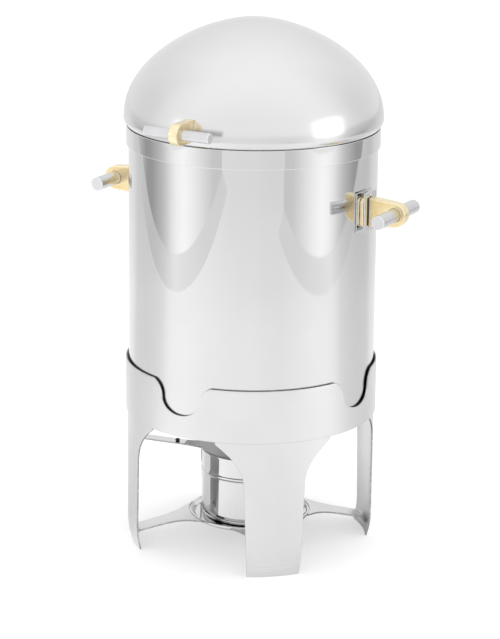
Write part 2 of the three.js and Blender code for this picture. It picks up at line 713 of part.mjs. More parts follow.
// The damper lid seen from above: a disc that draws in to a lever with a round end, built along +X.
function damperOutline() {
  const shape = new THREE.Shape();
  const upper = 0.7; // angles on the disc where the lever's two sides leave it
  const lower = 0;
  const top = LEVER_OFFSET + LEVER_HALF_WIDTH;
  const bottom = LEVER_OFFSET - LEVER_HALF_WIDTH;
  const bend = LEVER_TAPER_END - 24;
  shape.absarc(0, 0, LID_PLATE_R, upper, 2 * Math.PI + lower, false);
  shape.quadraticCurveTo(bend, bottom - 2, LEVER_TAPER_END, bottom);
  shape.absarc(LEVER_REACH - LEVER_HALF_WIDTH, LEVER_OFFSET, LEVER_HALF_WIDTH,
    -Math.PI / 2, Math.PI / 2, false);
  shape.lineTo(LEVER_TAPER_END, top);
  shape.quadraticCurveTo(bend, top + 2, LID_PLATE_R * Math.cos(upper), LID_PLATE_R * Math.sin(upper));
  return shape;
}

// A place on the lever: along it from the cup's middle, and across it towards the front.
function leverPoint(along, across) {
  const [x, y] = leverDirection;
  return [x * along - y * across, y * along + x * across, 0];
}

function addFuelHolder() {
  const lidLow = CUP_TOP + GAP;
  const lidHigh = lidLow + LID_PLATE_WALL;
  const leverAngle = (Math.atan2(leverDirection[1], leverDirection[0]) * 180) / Math.PI;
  const pivotAzimuth = LEVER_AZIMUTH - 90;

  add("fuel_cup", geometryOf(fuelCup()), steel);

  // A lug inside the rim carries the rivet that the damper lid turns on.
  const lugFace = (radius, halfAngle) => (u, v) =>
    polar(pivotAzimuth + (2 * u - 1) * halfAngle, radius, mix(LUG_BOTTOM, LUG_TOP, v));
  const lugOuter = lugFace(CUP_R - CUP_WALL - GAP, 8);
  const lugInner = lugFace(DAMPER_PIVOT_R - 6, 9);
  const at = (made) => made.translate([pivot[0], pivot[1], 0]);
  const rivetHole = at(pin(DAMPER_PIN_R + PIN_CLEARANCE, 90, 120, 16));
  add("damper_lug", geometryOf(sheet(3, 1, lugOuter, lugInner).subtract(rivetHole)), steel);
  const rivet = pin(DAMPER_PIN_R, LUG_BOTTOM - 2, lidHigh + 1, 16)
    .add(pin(4.4, lidHigh + GAP, lidHigh + 1.8, 16));
  add("damper_rivet", geometryOf(at(rivet)), steel);

  const lid = solid(slab(damperOutline(), LID_PLATE_WALL, 16))
    .translate([0, 0, (lidLow + lidHigh) / 2]).rotate([0, 0, leverAngle]);
  add("damper_lid", geometryOf(lid.subtract(rivetHole)), steel);

  const knob = turned([
    [0, lidHigh + GAP],
    [KNOB_R * 0.8, lidHigh + GAP],
    [KNOB_R, lidHigh + 1.6],
    [KNOB_R * 0.8, lidHigh + 3.2],
    [0, lidHigh + 3.9],
  ], 14);
  const spot = leverPoint(KNOB_ALONG, LEVER_OFFSET);
  add("damper_knob", geometryOf(knob.translate(spot)), black);
}

addStand();
addVessel();
addCover();
addHinge();
addFuelHolder();

export default group;
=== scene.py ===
import math

import bmesh
import bpy
import numpy as np
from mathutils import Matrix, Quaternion, Vector


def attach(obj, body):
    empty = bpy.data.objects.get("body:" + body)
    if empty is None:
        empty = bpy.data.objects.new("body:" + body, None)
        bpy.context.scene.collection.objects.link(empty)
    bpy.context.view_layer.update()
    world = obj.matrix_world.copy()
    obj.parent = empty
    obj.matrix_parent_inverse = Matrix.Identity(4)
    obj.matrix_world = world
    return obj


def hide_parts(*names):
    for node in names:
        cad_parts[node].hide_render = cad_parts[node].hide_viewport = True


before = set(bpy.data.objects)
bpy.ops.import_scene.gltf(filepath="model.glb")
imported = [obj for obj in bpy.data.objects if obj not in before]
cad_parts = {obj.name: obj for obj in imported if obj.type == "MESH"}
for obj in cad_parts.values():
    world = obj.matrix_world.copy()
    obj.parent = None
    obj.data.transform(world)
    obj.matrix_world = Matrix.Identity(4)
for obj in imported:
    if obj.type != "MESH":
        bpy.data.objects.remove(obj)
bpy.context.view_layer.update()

# A round soup chafer: mirror-polished vessel, satin dome and stand, brass brackets, steel bars.
# Shapes are worked out in millimetres and put into the meshes in metres.
# Azimuths are in degrees from the front (-Y) towards +X.

scene = bpy.context.scene
print("frame loaded:", len(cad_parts), "nodes")

# x = r sin a, y = -r cos a, z = z
def polar(azimuth, radius, z):
    a = np.radians(azimuth)
    return np.stack(np.broadcast_arrays(radius * np.sin(a), -radius * np.cos(a), z), axis=-1)


def mix(a, b, t):
    return a + (b - a) * t


def unit(v):
    return v / np.maximum(np.linalg.norm(v, axis=-1, keepdims=True), 1e-12)


# Each corner c with unit directions d1, d2 to its neighbours becomes an arc about
# c + r/sin(half angle) * bisector, walked from one touching point to the other.
# A held point stands on the flat before and after each arc. Returns points and an edge mask.
def rounded(corners, radius, closed=True, steps=4, hold=0.5):
    c = np.array(corners, float)
    before = unit(np.roll(c, 1, 0) - c)
    after = unit(np.roll(c, -1, 0) - c)
    shorter = np.minimum(np.linalg.norm(np.roll(c, 1, 0) - c, axis=1),
                         np.linalg.norm(np.roll(c, -1, 0) - c, axis=1))
    half = 0.5 * np.arccos(np.clip((before * after).sum(1), -1, 1))
    straight = half > math.pi / 2 - 0.01
    tangent = np.minimum(np.broadcast_to(radius, shorter.shape) / np.tan(half), 0.42 * shorter)
    r = tangent * np.tan(half)
    centre = c + unit(before + after + 1e-12) * (r / np.sin(half))[:, None]
    start = c + before * tangent[:, None]
    end = c + after * tangent[:, None]
    sweep = np.maximum(math.pi - 2 * half, 1e-3)[:, None, None]
    k = np.linspace(0, 1, steps + 1)[None, :, None]
    arc = centre[:, None] + (np.sin((1 - k) * sweep) * (start - centre)[:, None]
                             + np.sin(k * sweep) * (end - centre)[:, None]) / np.sin(sweep)
    arc = np.where(straight[:, None, None], mix(start[:, None], end[:, None], k), arc)
    reach = np.minimum(tangent + hold, 0.47 * shorter)[:, None]
    whole = np.concatenate([(c + before * reach)[:, None], arc, (c + after * reach)[:, None]], 1)
    mask = np.zeros(whole.shape[:2])
    mask[:, 1:-1] = np.where(straight, 0, 1)[:, None]
    if closed:
        points = np.concatenate([whole.reshape(-1, 2), whole[0, :1]])
        return points, np.append(mask.reshape(-1), mask[0, 0])
    points = np.concatenate([c[:1], whole[1:-1].reshape(-1, 2), c[-1:]])
    return points, np.concatenate([[0], mask[1:-1].reshape(-1), [0]])


# Points are added along each long stretch so that no step is longer than the limit.
def filled(profile, mask, limit):
    length = np.append(0, np.cumsum(np.linalg.norm(np.diff(profile, axis=0), axis=1)))
    count = np.maximum(1, np.ceil(np.diff(length) / limit)).astype(int)
    at = np.concatenate([np.linspace(a, b, n, endpoint=False)
                         for a, b, n in zip(length[:-1], length[1:], count)] + [length[-1:]])
    return (np.stack([np.interp(at, length, profile[:, 0]), np.interp(at, length, profile[:, 1])], 1),
            np.interp(at, length, mask))


# A profile of (radius, height) turned round an axis: the point at angle a is
# (r sin a, -r cos a, height), then x, y and z are rolled so that the height lies along the axis.
def turned(profile, mask=0, segments=224, axis=2, centre=(0, 0, 0)):
    a = np.linspace(0, 2 * math.pi, segments + 1)
    profile = np.asarray(profile, float)
    r, h = profile[:, :1], profile[:, 1:]
    points = np.stack(np.broadcast_arrays(r * np.sin(a), -r * np.cos(a), h + 0 * a), axis=-1)
    edge = np.broadcast_to(np.reshape(mask, (-1, 1)), points.shape[:2])
    return np.roll(points, (axis + 1) % 3, axis=-1) + np.array(centre, float), edge


# The wall between two surfaces F and B on one grid, with its rims rounded by radius r:
# middle (F + B) / 2 + half thickness * c + outward tangent * s, where c runs from 1 to -1 round
# the rim and s rises to r on the rim. Ends along the first index are drawn in the same way.
def walled(front, back, r=0.4, closed=False, steps=4):
    middle = (front + back) / 2
    out = [unit(middle[:, 0] - middle[:, 1]), unit(middle[:, -1] - middle[:, -2])]
    middle[:, 0] -= out[0] * r
    middle[:, -1] -= out[1] * r
    cap = [unit(middle[0] - middle[1]), unit(middle[-1] - middle[-2])]
    if not closed:
        middle[0] -= cap[0] * r
        middle[-1] -= cap[1] * r
    half = (front - back) / 2
    thick = np.linalg.norm(half, axis=-1, keepdims=True)
    share = np.minimum(r / thick, 1)
    a = np.linspace(0, math.pi / 2, steps + 1)
    rows = front.shape[1]
    quarter = [(math.cos(x), math.sin(x)) for x in a] + [(math.cos(x), -math.sin(x)) for x in a[::-1]]
    walk = [(j, 1.0, 0.0, 1) for j in range(rows)]
    walk += [(rows - 1, c, abs(s), math.copysign(1, s)) for c, s in quarter[1:-1]]
    walk += [(j, 1.0, 0.0, -1) for j in range(rows - 1, -1, -1)]
    walk += [(0, c, abs(s), math.copysign(1, -s)) for c, s in quarter[1:-1]]
    walk += [(0, 1.0, 0.0, 1)]
    j = np.array([w[0] for w in walk])
    c = np.array([w[1] for w in walk])[None, :, None]
    s = np.array([w[2] for w in walk])[None, :, None]
    side = np.array([w[3] for w in walk])[None, :, None]
    # across the wall: full thickness less what the rounding takes at this place on the rim
    across = side * (1 - share[:, j] * (1 - c))
    outward = np.where((j == 0)[None, :, None], out[0][:, None], out[1][:, None])
    mid = middle[:, j] + outward * r * s
    tube = mid + half[:, j] * across
    edge = np.broadcast_to(s[..., 0], tube.shape[:2])
    if closed:
        return tube, edge
    head = [mid[0] + (tube[0] - mid[0]) * (1 - share[0, j] * (1 - math.cos(x)))
            + cap[0][j] * r * math.sin(x) for x in a[:0:-1]]
    tail = [mid[-1] + (tube[-1] - mid[-1]) * (1 - share[-1, j] * (1 - math.cos(x)))
            + cap[1][j] * r * math.sin(x) for x in a[1:]]
    first = mid[0] + cap[0][j] * r
    last = mid[-1] + cap[1][j] * r
    tube = np.concatenate([first[None], head, tube, tail, last[None]])
    rim = np.ones((steps + 1, edge.shape[1]))
    return tube, np.concatenate([rim, edge, rim])


# A flat part between a closed outline and a round hole, seen square on: at each place on the
# outline a section runs from the hole out to the outline, with both rims rounded by r.
# Returns (u, v, across) points; u and v in the outline's plane, across from -half to +half.
def holedPlate(outline, centre, holeRadius, half, r=0.5, steps=4, rings=5):
    o = np.asarray(outline, float)
    if np.linalg.norm(o[0] - o[-1]) < 1e-9:
        o = o[:-1]
    tangent = unit(np.roll(o, -1, 0) - np.roll(o, 1, 0))
    normal = np.stack([tangent[:, 1], -tangent[:, 0]], 1)
    area = (o[:, 0] * np.roll(o[:, 1], -1) - np.roll(o[:, 0], -1) * o[:, 1]).sum()
    normal *= math.copysign(1, area)
    away = unit(o - np.array(centre))
    hole = np.array(centre) + away * holeRadius
    a = np.linspace(0, math.pi / 2, steps + 1)
    t = np.linspace(0, 1, rings)[1:-1]
    inner = o - normal * r
    lip = hole + away * r
    section = [(hole + away * r * (1 - math.cos(x)), half - r + r * math.sin(x), 1) for x in a]
    section += [(mix(lip, inner, x), half, 0) for x in t]
    section += [(o - normal * r * (1 - math.sin(x)), half - r + r * math.cos(x), 1) for x in a]
    section += [(p, -h, m) for p, h, m in section[::-1]]
    section.append(section[0])
    flat = np.stack([p for p, _, _ in section])
    flat = np.concatenate([flat, flat[:, :1]], 1)
    across = np.array([h for _, h, _ in section])[:, None, None]
    edge = np.array([m for _, _, m in section], float)[:, None]
    across = np.broadcast_to(across, flat.shape[:2] + (1,))
    return np.concatenate([flat, across], 2), np.broadcast_to(edge, flat.shape[:2])


# Turns points about the vertical axis and shifts them.
def placed(grid, degrees=0, shift=(0, 0, 0)):
    points, edge = grid
    a = math.radians(degrees)
    x, y, z = np.moveaxis(points, -1, 0)
    turnedPoints = np.stack([x * math.cos(a) - y * math.sin(a), x * math.sin(a) + y * math.cos(a), z], -1)
    return turnedPoints + np.array(shift, float), edge


# Distance walked along a grid's first and second index, in metres: the piece's own map.
def walkedLengths(points):
    u = np.linalg.norm(np.diff(points, axis=0), axis=-1).cumsum(0)
    v = np.linalg.norm(np.diff(points, axis=1), axis=-1).cumsum(1)
    return np.stack([np.pad(u, ((1, 0), (0, 0))), np.pad(v, ((0, 0), (1, 0)))], -1) / 1000


pieceCount = 0


# One mesh from one or more grids: quads [i,j],[i+1,j],[i+1,j+1],[i,j+1], seams and poles merged.
def makePiece(name, grids, body, slotName, nodes=(), sharp=38):
    global pieceCount
    corners, quads, maps, edges, start = [], [], [], [], 0
    for points, edge in grids:
        rows, columns = points.shape[:2]
        index = start + np.arange(rows * columns).reshape(rows, columns)
        quads.append(np.stack([index[:-1, :-1], index[1:, :-1], index[1:, 1:], index[:-1, 1:]], -1)
                     .reshape(-1, 4))
        corners.append(points.reshape(-1, 3) / 1000)
        maps.append(walkedLengths(points).reshape(-1, 2))
        edges.append(np.broadcast_to(edge, (rows, columns)).reshape(-1))
        start += rows * columns
    corners, quads, maps, edges = map(np.concatenate, (corners, quads, maps, edges))
    mesh = bpy.data.meshes.new(name)
    mesh.from_pydata(corners, [], quads)
    mesh.uv_layers.new(name="surface")
    mesh.uv_layers["surface"].data.foreach_set("uv", maps[quads.reshape(-1)].reshape(-1))
    mesh.attributes.new("edge", "FLOAT", "POINT").data.foreach_set("value", edges.astype(np.float32))
    made = bmesh.new()
    made.from_mesh(mesh)
    bmesh.ops.remove_doubles(made, verts=made.verts, dist=4e-6)
    bmesh.ops.dissolve_degenerate(made, edges=made.edges, dist=2e-6)
    bmesh.ops.recalc_face_normals(made, faces=made.faces)
    made.to_mesh(mesh)
    made.free()
    mesh.polygons.foreach_set("use_smooth", np.ones(len(mesh.polygons), bool))
    mesh.set_sharp_from_angle(angle=math.radians(sharp))
    piece = bpy.data.objects.new(name, mesh)
    scene.collection.objects.link(piece)
    mesh.materials.append(finishes[slotName])
    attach(piece, body)
    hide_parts(*nodes)
    pieceCount += 1
    return piece


def addNode(tree, kind, inputs=None, **settings):
    made = tree.nodes.new(kind)
    for key, value in settings.items():
        setattr(made, key, value)
    for key, value in (inputs or {}).items():
        if isinstance(value, bpy.types.NodeSocket):
            tree.links.new(value, made.inputs[key])
        else:
            made.inputs[key].default_value = value
    return made


def newGroup(name, inputs, outputs):
    group = bpy.data.node_groups.new(name, "ShaderNodeTree")
    for label, kind, value in inputs:
        socket = group.interface.new_socket(label, in_out="INPUT", socket_type=kind)
        if value is not None:
            socket.default_value = value
    for label in outputs:
        group.interface.new_socket(label, in_out="OUTPUT", socket_type="NodeSocketFloat")
    return group, group.nodes.new("NodeGroupInput"), group.nodes.new("NodeGroupOutput")


# Fine grain: noise on a vector stretched by three factors, with a finer layer over it.
def makeGrain():
    group, given, result = newGroup("fineGrain", [
        ("Vector", "NodeSocketVector", None),
        ("Stretch", "NodeSocketVector", (1, 1, 1)),
        ("Scale", "NodeSocketFloat", 900.0)], ["Height"])
    stretched = addNode(group, "ShaderNodeVectorMath", {0: given.outputs["Vector"],
                        1: given.outputs["Stretch"]}, operation="MULTIPLY")
    coarse = addNode(group, "ShaderNodeTexNoise", {"Vector": stretched.outputs[0],
                     "Scale": given.outputs["Scale"], "Detail": 3.0, "Roughness": 0.55})
    finer = addNode(group, "ShaderNodeMath", {0: given.outputs["Scale"], 1: 3.7}, operation="MULTIPLY")
    fine = addNode(group, "ShaderNodeTexNoise", {"Vector": stretched.outputs[0],
                   "Scale": finer.outputs[0], "Detail": 2.0, "Roughness": 0.5})
    both = addNode(group, "ShaderNodeMath", {0: fine.outputs["Fac"], 1: 0.35, 2: coarse.outputs["Fac"]},
                   operation="MULTIPLY_ADD")
    group.links.new(both.outputs[0], result.inputs["Height"])
    return group


# Handling: large soft blotches and small flecks that lift the roughness here and there.
def makeHandling():
    group, given, result = newGroup("handlingMarks", [
        ("Vector", "NodeSocketVector", None),
        ("Size", "NodeSocketFloat", 9.0),
        ("Low", "NodeSocketFloat", 0.08),
        ("High", "NodeSocketFloat", 0.12)], ["Roughness", "Mask"])
    blotch = addNode(group, "ShaderNodeTexNoise", {"Vector": given.outputs["Vector"],
                     "Scale": given.outputs["Size"], "Detail": 4.0, "Roughness": 0.6})
    small = addNode(group, "ShaderNodeMath", {0: given.outputs["Size"], 1: 21.0}, operation="MULTIPLY")
    fleck = addNode(group, "ShaderNodeTexNoise", {"Vector": given.outputs["Vector"],
                    "Scale": small.outputs[0], "Detail": 2.0})
    soft = addNode(group, "ShaderNodeMapRange", {"Value": blotch.outputs["Fac"], "From Min": 0.36,
                   "From Max": 0.68}, interpolation_type="SMOOTHSTEP")
    dot = addNode(group, "ShaderNodeMapRange", {"Value": fleck.outputs["Fac"], "From Min": 0.62,
                  "From Max": 0.74}, interpolation_type="SMOOTHSTEP")
    mask = addNode(group, "ShaderNodeMath", {0: dot.outputs[0], 1: 0.3, 2: soft.outputs[0]},
                   operation="MULTIPLY_ADD", use_clamp=True)
    rough = addNode(group, "ShaderNodeMapRange", {"Value": mask.outputs[0],
                    "To Min": given.outputs["Low"], "To Max": given.outputs["High"]})
    group.links.new(rough.outputs[0], result.inputs["Roughness"])
    group.links.new(mask.outputs[0], result.inputs["Mask"])
    return group


# Edge wear and painted shade: the rounded rims' mask, broken up by noise. On satin steel the rims go dark, as
# painted shade for the shadow lines in the notches and under the collar.
def makeEdgeWearAndShade():
    group, given, result = newGroup("edgeWearAndShade", [
        ("Edge", "NodeSocketFloat", 0.0),
        ("Vector", "NodeSocketVector", None),
        ("Amount", "NodeSocketFloat", 0.5)], ["Mask"])
    broken = addNode(group, "ShaderNodeTexNoise", {"Vector": given.outputs["Vector"], "Scale": 160.0,
                     "Detail": 3.0})
    kept = addNode(group, "ShaderNodeMapRange", {"Value": broken.outputs["Fac"], "From Min": 0.2,
                   "From Max": 0.5})
    wornAndShadedRim = addNode(group, "ShaderNodeMath", {0: kept.outputs[0], 1: given.outputs["Edge"]},
                   operation="MULTIPLY")
    mask = addNode(group, "ShaderNodeMath", {0: wornAndShadedRim.outputs[0], 1: given.outputs["Amount"]},
                   operation="MULTIPLY", use_clamp=True)
    group.links.new(mask.outputs[0], result.inputs["Mask"])
    return group


effects = {"grain": makeGrain(), "handling": makeHandling(), "edgeWearAndShade": makeEdgeWearAndShade()}


# One finish: tint and shade are mixed by the handling mask, rims go towards another colour (worn metal, and
# on satin steel a dark painted shade), the roughness follows the same marks, and the grain is a shallow bump.
def makeFinish(name, look):
    material = bpy.data.materials.new(name)
    material.use_nodes = True
    tree = material.node_tree
    tree.nodes.clear()
    place = addNode(tree, "ShaderNodeTexCoord")
    where = place.outputs["UV" if look["followSurface"] else "Object"]
    everywhere = place.outputs["Object"]

    def effect(kind, inputs):
        made = tree.nodes.new("ShaderNodeGroup")
        made.node_tree = effects[kind]
        for key, value in inputs.items():
            if isinstance(value, bpy.types.NodeSocket):
                tree.links.new(value, made.inputs[key])
            else:
                made.inputs[key].default_value = value
        return made

    grain = effect("grain", {"Vector": where, "Stretch": look["grainStretch"], "Scale": look["grainScale"]})
    marks = effect("handling", {"Vector": everywhere, "Size": look["markSize"],
                   "Low": look["roughness"][0], "High": look["roughness"][1]})
    rim = addNode(tree, "ShaderNodeAttribute", attribute_name="edge")
    wearAndShadeAtRims = effect("edgeWearAndShade", {"Edge": rim.outputs["Fac"], "Vector": everywhere, "Amount": look["wearAndShadeAtRims"]})
    base = addNode(tree, "ShaderNodeMix", {"Factor": marks.outputs["Mask"], "A": (*look["tint"], 1),
                   "B": (*look["shade"], 1)}, data_type="RGBA")
    toned = addNode(tree, "ShaderNodeMix", {"Factor": wearAndShadeAtRims.outputs["Mask"], "B": (*look["wornAndShadedRim"], 1)},
                    data_type="RGBA")
    rough = addNode(tree, "ShaderNodeMix", {"Factor": wearAndShadeAtRims.outputs["Mask"],
                    "A": marks.outputs["Roughness"], "B": look["wornAndShadedRimRoughness"]}, data_type="FLOAT")
    bump = addNode(tree, "ShaderNodeBump", {"Height": grain.outputs["Height"], "Strength": 1.0,
                   "Distance": look["grainDepth"]})
    surface = addNode(tree, "ShaderNodeBsdfPrincipled", {"Metallic": look["metal"],
                      "Roughness": rough.outputs["Result"], "Normal": bump.outputs["Normal"]})
    output = addNode(tree, "ShaderNodeOutputMaterial", {"Surface": surface.outputs[0]})
    colours = [socket for socket in toned.inputs if socket.name == "A" and socket.type == "RGBA"]
    tree.links.new([o for o in base.outputs if o.type == "RGBA"][0], colours[0])
    tree.links.new([o for o in toned.outputs if o.type == "RGBA"][0], surface.inputs["Base Color"])
    output.is_active_output = True
    return material


steelTone = (0.72, 0.72, 0.722)
looks = {
    "polished_steel": {"tint": steelTone, "shade": (0.70, 0.70, 0.705), "roughness": (0.018, 0.04),
                       "markSize": 7.0, "grainScale": 700.0, "grainStretch": (1, 1, 0.15),
                       "grainDepth": 1.5e-6, "followSurface": False, "wearAndShadeAtRims": 0.6,
                       "wornAndShadedRim": (0.82, 0.82, 0.82), "wornAndShadedRimRoughness": 0.16, "metal": 1.0},
    "dome_steel": {"tint": (0.74, 0.74, 0.74), "shade": (0.72, 0.72, 0.725), "roughness": (0.16, 0.22),
                   "markSize": 6.0, "grainScale": 800.0, "grainStretch": (1, 1, 1),
                   "grainDepth": 6e-6, "followSurface": False, "wearAndShadeAtRims": 0.5,
                   "wornAndShadedRim": (0.8, 0.8, 0.8), "wornAndShadedRimRoughness": 0.14, "metal": 1.0},
    # satin rims turn dark: painted shade for the shadow lines along the notches and under the collar
    "satin_steel": {"tint": (0.75, 0.75, 0.75), "shade": (0.725, 0.725, 0.73), "roughness": (0.30, 0.38),
                    "markSize": 8.0, "grainScale": 520.0, "grainStretch": (1, 1, 0.12),
                    "grainDepth": 9e-6, "followSurface": False, "wearAndShadeAtRims": 0.7,
                    "wornAndShadedRim": (0.26, 0.26, 0.26), "wornAndShadedRimRoughness": 0.3, "metal": 1.0},
    "satin_bar": {"tint": (0.70, 0.70, 0.71), "shade": (0.64, 0.64, 0.66), "roughness": (0.20, 0.28),
                  "markSize": 30.0, "grainScale": 1500.0, "grainStretch": (1.0, 0.04, 1.0),
                  "grainDepth": 8e-6, "followSurface": True, "wearAndShadeAtRims": 0.6,
                  "wornAndShadedRim": (0.85, 0.85, 0.86), "wornAndShadedRimRoughness": 0.12, "metal": 1.0},
    "brass": {"tint": (0.86, 0.72, 0.43), "shade": (0.83, 0.65, 0.34), "roughness": (0.20, 0.30),
              "markSize": 35.0, "grainScale": 900.0, "grainStretch": (1, 1, 1),
              "grainDepth": 7e-6, "followSurface": False, "wearAndShadeAtRims": 0.8,
              "wornAndShadedRim": (0.95, 0.83, 0.58), "wornAndShadedRimRoughness": 0.16, "metal": 1.0},
    "black_gasket": {"tint": (0.17, 0.14, 0.10), "shade": (0.21, 0.17, 0.12),
                     "roughness": (0.45, 0.62), "markSize": 60.0, "grainScale": 1600.0,
                     "grainStretch": (1, 1, 1), "grainDepth": 3e-5, "followSurface": False,
                     "wearAndShadeAtRims": 0.5, "wornAndShadedRim": (0.22, 0.19, 0.15), "wornAndShadedRimRoughness": 0.7, "metal": 0.0},
    "black_knob": {"tint": (0.020, 0.019, 0.018), "shade": (0.032, 0.030, 0.028),
                   "roughness": (0.28, 0.42), "markSize": 80.0, "grainScale": 1800.0,
                   "grainStretch": (1, 1, 1), "grainDepth": 1.5e-5, "followSurface": False,
                   "wearAndShadeAtRims": 0.5, "wornAndShadedRim": (0.07, 0.07, 0.07), "wornAndShadedRimRoughness": 0.5, "metal": 0.0},
}
finishes = {name: makeFinish(name, look) for name, look in looks.items()}
print("finishes made:", len(finishes))

view = {"position": (1.3945, -2.5684, 1.1161), "aim": (-0.0016, -0.0009, 0.2687),
        "roll": 0.010675, "lens": 145.5}
camera = bpy.data.objects.new("viewpoint", bpy.data.cameras.new("viewpoint"))
scene.collection.objects.link(camera)
camera.location = view["position"]
direction = Vector(view["aim"]) - Vector(view["position"])
camera.rotation_mode = "QUATERNION"
camera.rotation_quaternion = direction.to_track_quat("-Z", "Y") @ Quaternion((0, 0, 1), view["roll"])
camera.data.lens = view["lens"]
camera.data.sensor_width = 36
camera.data.sensor_fit = "AUTO"
camera.data.clip_end = 60
scene.camera = camera
cameraAzimuth = math.degrees(math.atan2(view["position"][0], -view["position"][1]))

collar = {"outerRadius": 148, "wall": 1.6, "bottom": 163.8, "top": 226.5, "firstLeg": 40,
          "notchDrop": 37.2, "notchFlat": 26, "notchCurve": 20, "shoulderEnd": 1.28}


# Distance along and height above a notch's bottom: a hollow quarter ellipse (F sin a, H (1 - cos a)),
# then a shoulder (F + C (1 - cos a), H + H sin a / sin end), where H is half the notch's depth.
def notchSide(t):
    half = collar["notchDrop"] / 2
    a = t * math.pi
    b = (t - 0.5) * 2 * collar["shoulderEnd"]
    hollow = np.stack([collar["notchFlat"] * np.sin(a), half * (1 - np.cos(a))], -1)
    rise = np.sin(b) / math.sin(collar["shoulderEnd"])
    shoulder = np.stack([collar["notchFlat"] + collar["notchCurve"] * (1 - np.cos(b)), half * (1 + rise)], -1)
    return np.where((t < 0.5)[:, None], hollow, shoulder)


def collarTop():
    perDegree = math.radians(1) * collar["outerRadius"]
    side = notchSide(np.linspace(0, 1, 30))
    along = np.concatenate([-side[:0:-1, 0], side[:, 0]]) / perDegree
    height = np.concatenate([side[:0:-1, 1], side[:, 1]]) + collar["top"] - collar["notchDrop"]
    tab = np.linspace(along[-1], 90 - along[-1], 44)[1:-1]
    azimuth = np.concatenate([along, tab])
    top = np.concatenate([height, np.full(len(tab), collar["top"])])
    centres = collar["firstLeg"] + 45 + 90 * np.arange(4)
    azimuth = (centres[:, None] + azimuth).reshape(-1)
    top = np.tile(top, 4)
    return np.append(azimuth, azimuth[0] + 360), np.append(top, top[0])


azimuths, tops = collarTop()
heights = mix(collar["bottom"], tops[:, None], np.linspace(0, 1, 12))
makePiece("standCollar", [walled(
    polar(azimuths[:, None], collar["outerRadius"], heights),
    polar(azimuths[:, None], collar["outerRadius"] - collar["wall"], heights), 0.65, closed=True)],
    "stand", "satin_steel", ["stand_ring"])

legShape = {"radius": 146.1, "wall": 2.0, "top": 178, "bend": 28, "lip": 12, "curve": 1.4, "lipTurn": 3.2,
            "crease": 0.4, "creaseHalf": 0.7,
            "slim": 12.5, "widen": 1.7, "flareFrom": 111, "flareTo": 160.5, "flare": 12.6,
            "flarePower": 2.2}
legNames = ["frontLeg", "rightLeg", "backLeg", "leftLeg"]


# Half width in degrees: slim + widen z / 111 + flare * (share of the flare's height) ^ 2.2
def legHalfAngle(z):
    s = legShape
    rise = np.clip((z - s["flareFrom"]) / (s["flareTo"] - s["flareFrom"]), 0, 1)
    straight = s["slim"] + s["widen"] * np.minimum(z, s["flareTo"]) / s["flareFrom"]
    return straight + s["flare"] * rise ** s["flarePower"]


# Outer radius: straight, drawn in by a power curve below the bend, then the turned-in lip under
# a shallow crease.
def legRadius(z):
    s = legShape
    bend = np.clip((s["bend"] - z) / (s["bend"] - s["lip"]), 0, 1) ** 1.5
    lip = np.clip(1 - z / s["lip"], 0, 1)
    crease = s["crease"] * np.exp(-((z - s["lip"]) / s["creaseHalf"]) ** 2)
    return s["radius"] - s["curve"] * bend - s["lipTurn"] * lip - crease


legHeights = np.unique(np.concatenate([
    np.linspace(0, 10, 7), np.linspace(10, 14, 11), np.linspace(14, 28, 9), np.linspace(28, 111, 12),
    np.linspace(111, 160.5, 26), np.linspace(160.5, 178, 8)]))
across = np.linspace(-1, 1, 31)[:, None]
for k, legName in enumerate(legNames):
    azimuth = collar["firstLeg"] + 90 * k
    spread = azimuth + across * legHalfAngle(legHeights)
    makePiece(legName, [walled(
        polar(spread, legRadius(legHeights), legHeights),
        polar(spread, legRadius(legHeights) - legShape["wall"], legHeights), 0.4)],
        "stand", "satin_steel", [f"leg_{k + 1}"])

ledge = rounded([(132, 178.4), (145.5, 178.4), (145.5, 180.4), (132, 180.4)], 0.4)
makePiece("vesselLedge", [turned(*ledge)], "stand", "satin_steel", ["jacket_shelf"])

tray = {"radius": 71.4, "rim": 33.4, "floor": 29.0, "wall": 1.4}
low = tray["floor"] - tray["wall"]
trayRadius = tray["radius"]
trayProfile = filled(*rounded([
    (0, low), (trayRadius - 5, low), (trayRadius - 2, low + 1), (trayRadius, low + 3.4),
    (trayRadius, tray["rim"] - 0.6), (trayRadius - 0.7, tray["rim"]), (trayRadius - 2, tray["rim"]),
    (trayRadius - 3.2, tray["rim"] - 2.4), (trayRadius - 6, tray["floor"]), (0, tray["floor"])],
    1.2, closed=False), 5)
makePiece("fuelTray", [turned(*trayProfile)], "stand", "polished_steel", ["burner_tray"])

armShape = {"wall": 2.0, "inner": (72.2, 31.9), "bend": (133.0, 17.8), "end": (140.2, 8.5),
            "halfWidth": 13.0, "flare": 24.0, "flarePower": 5.0}
armNames = ["frontArm", "rightArm", "backArm", "leftArm"]


# The arm's middle line: a straight slope outwards for the first 0.6 of t, then a quarter ellipse down.
def armLine(t):
    (r0, z0), (r1, z1), (r2, z2) = armShape["inner"], armShape["bend"], armShape["end"]
    s = np.clip(t / 0.6, 0, 1)
    a = np.clip((t - 0.6) / 0.4, 0, 1) * math.pi / 2
    slope = np.stack([mix(r0, r1, s), mix(z0, z1, s)], -1)
    turn = np.stack([r1 + (r2 - r1) * np.sin(a), z2 + (z1 - z2) * np.cos(a)], -1)
    return np.where((t < 0.6)[:, None], slope, turn)


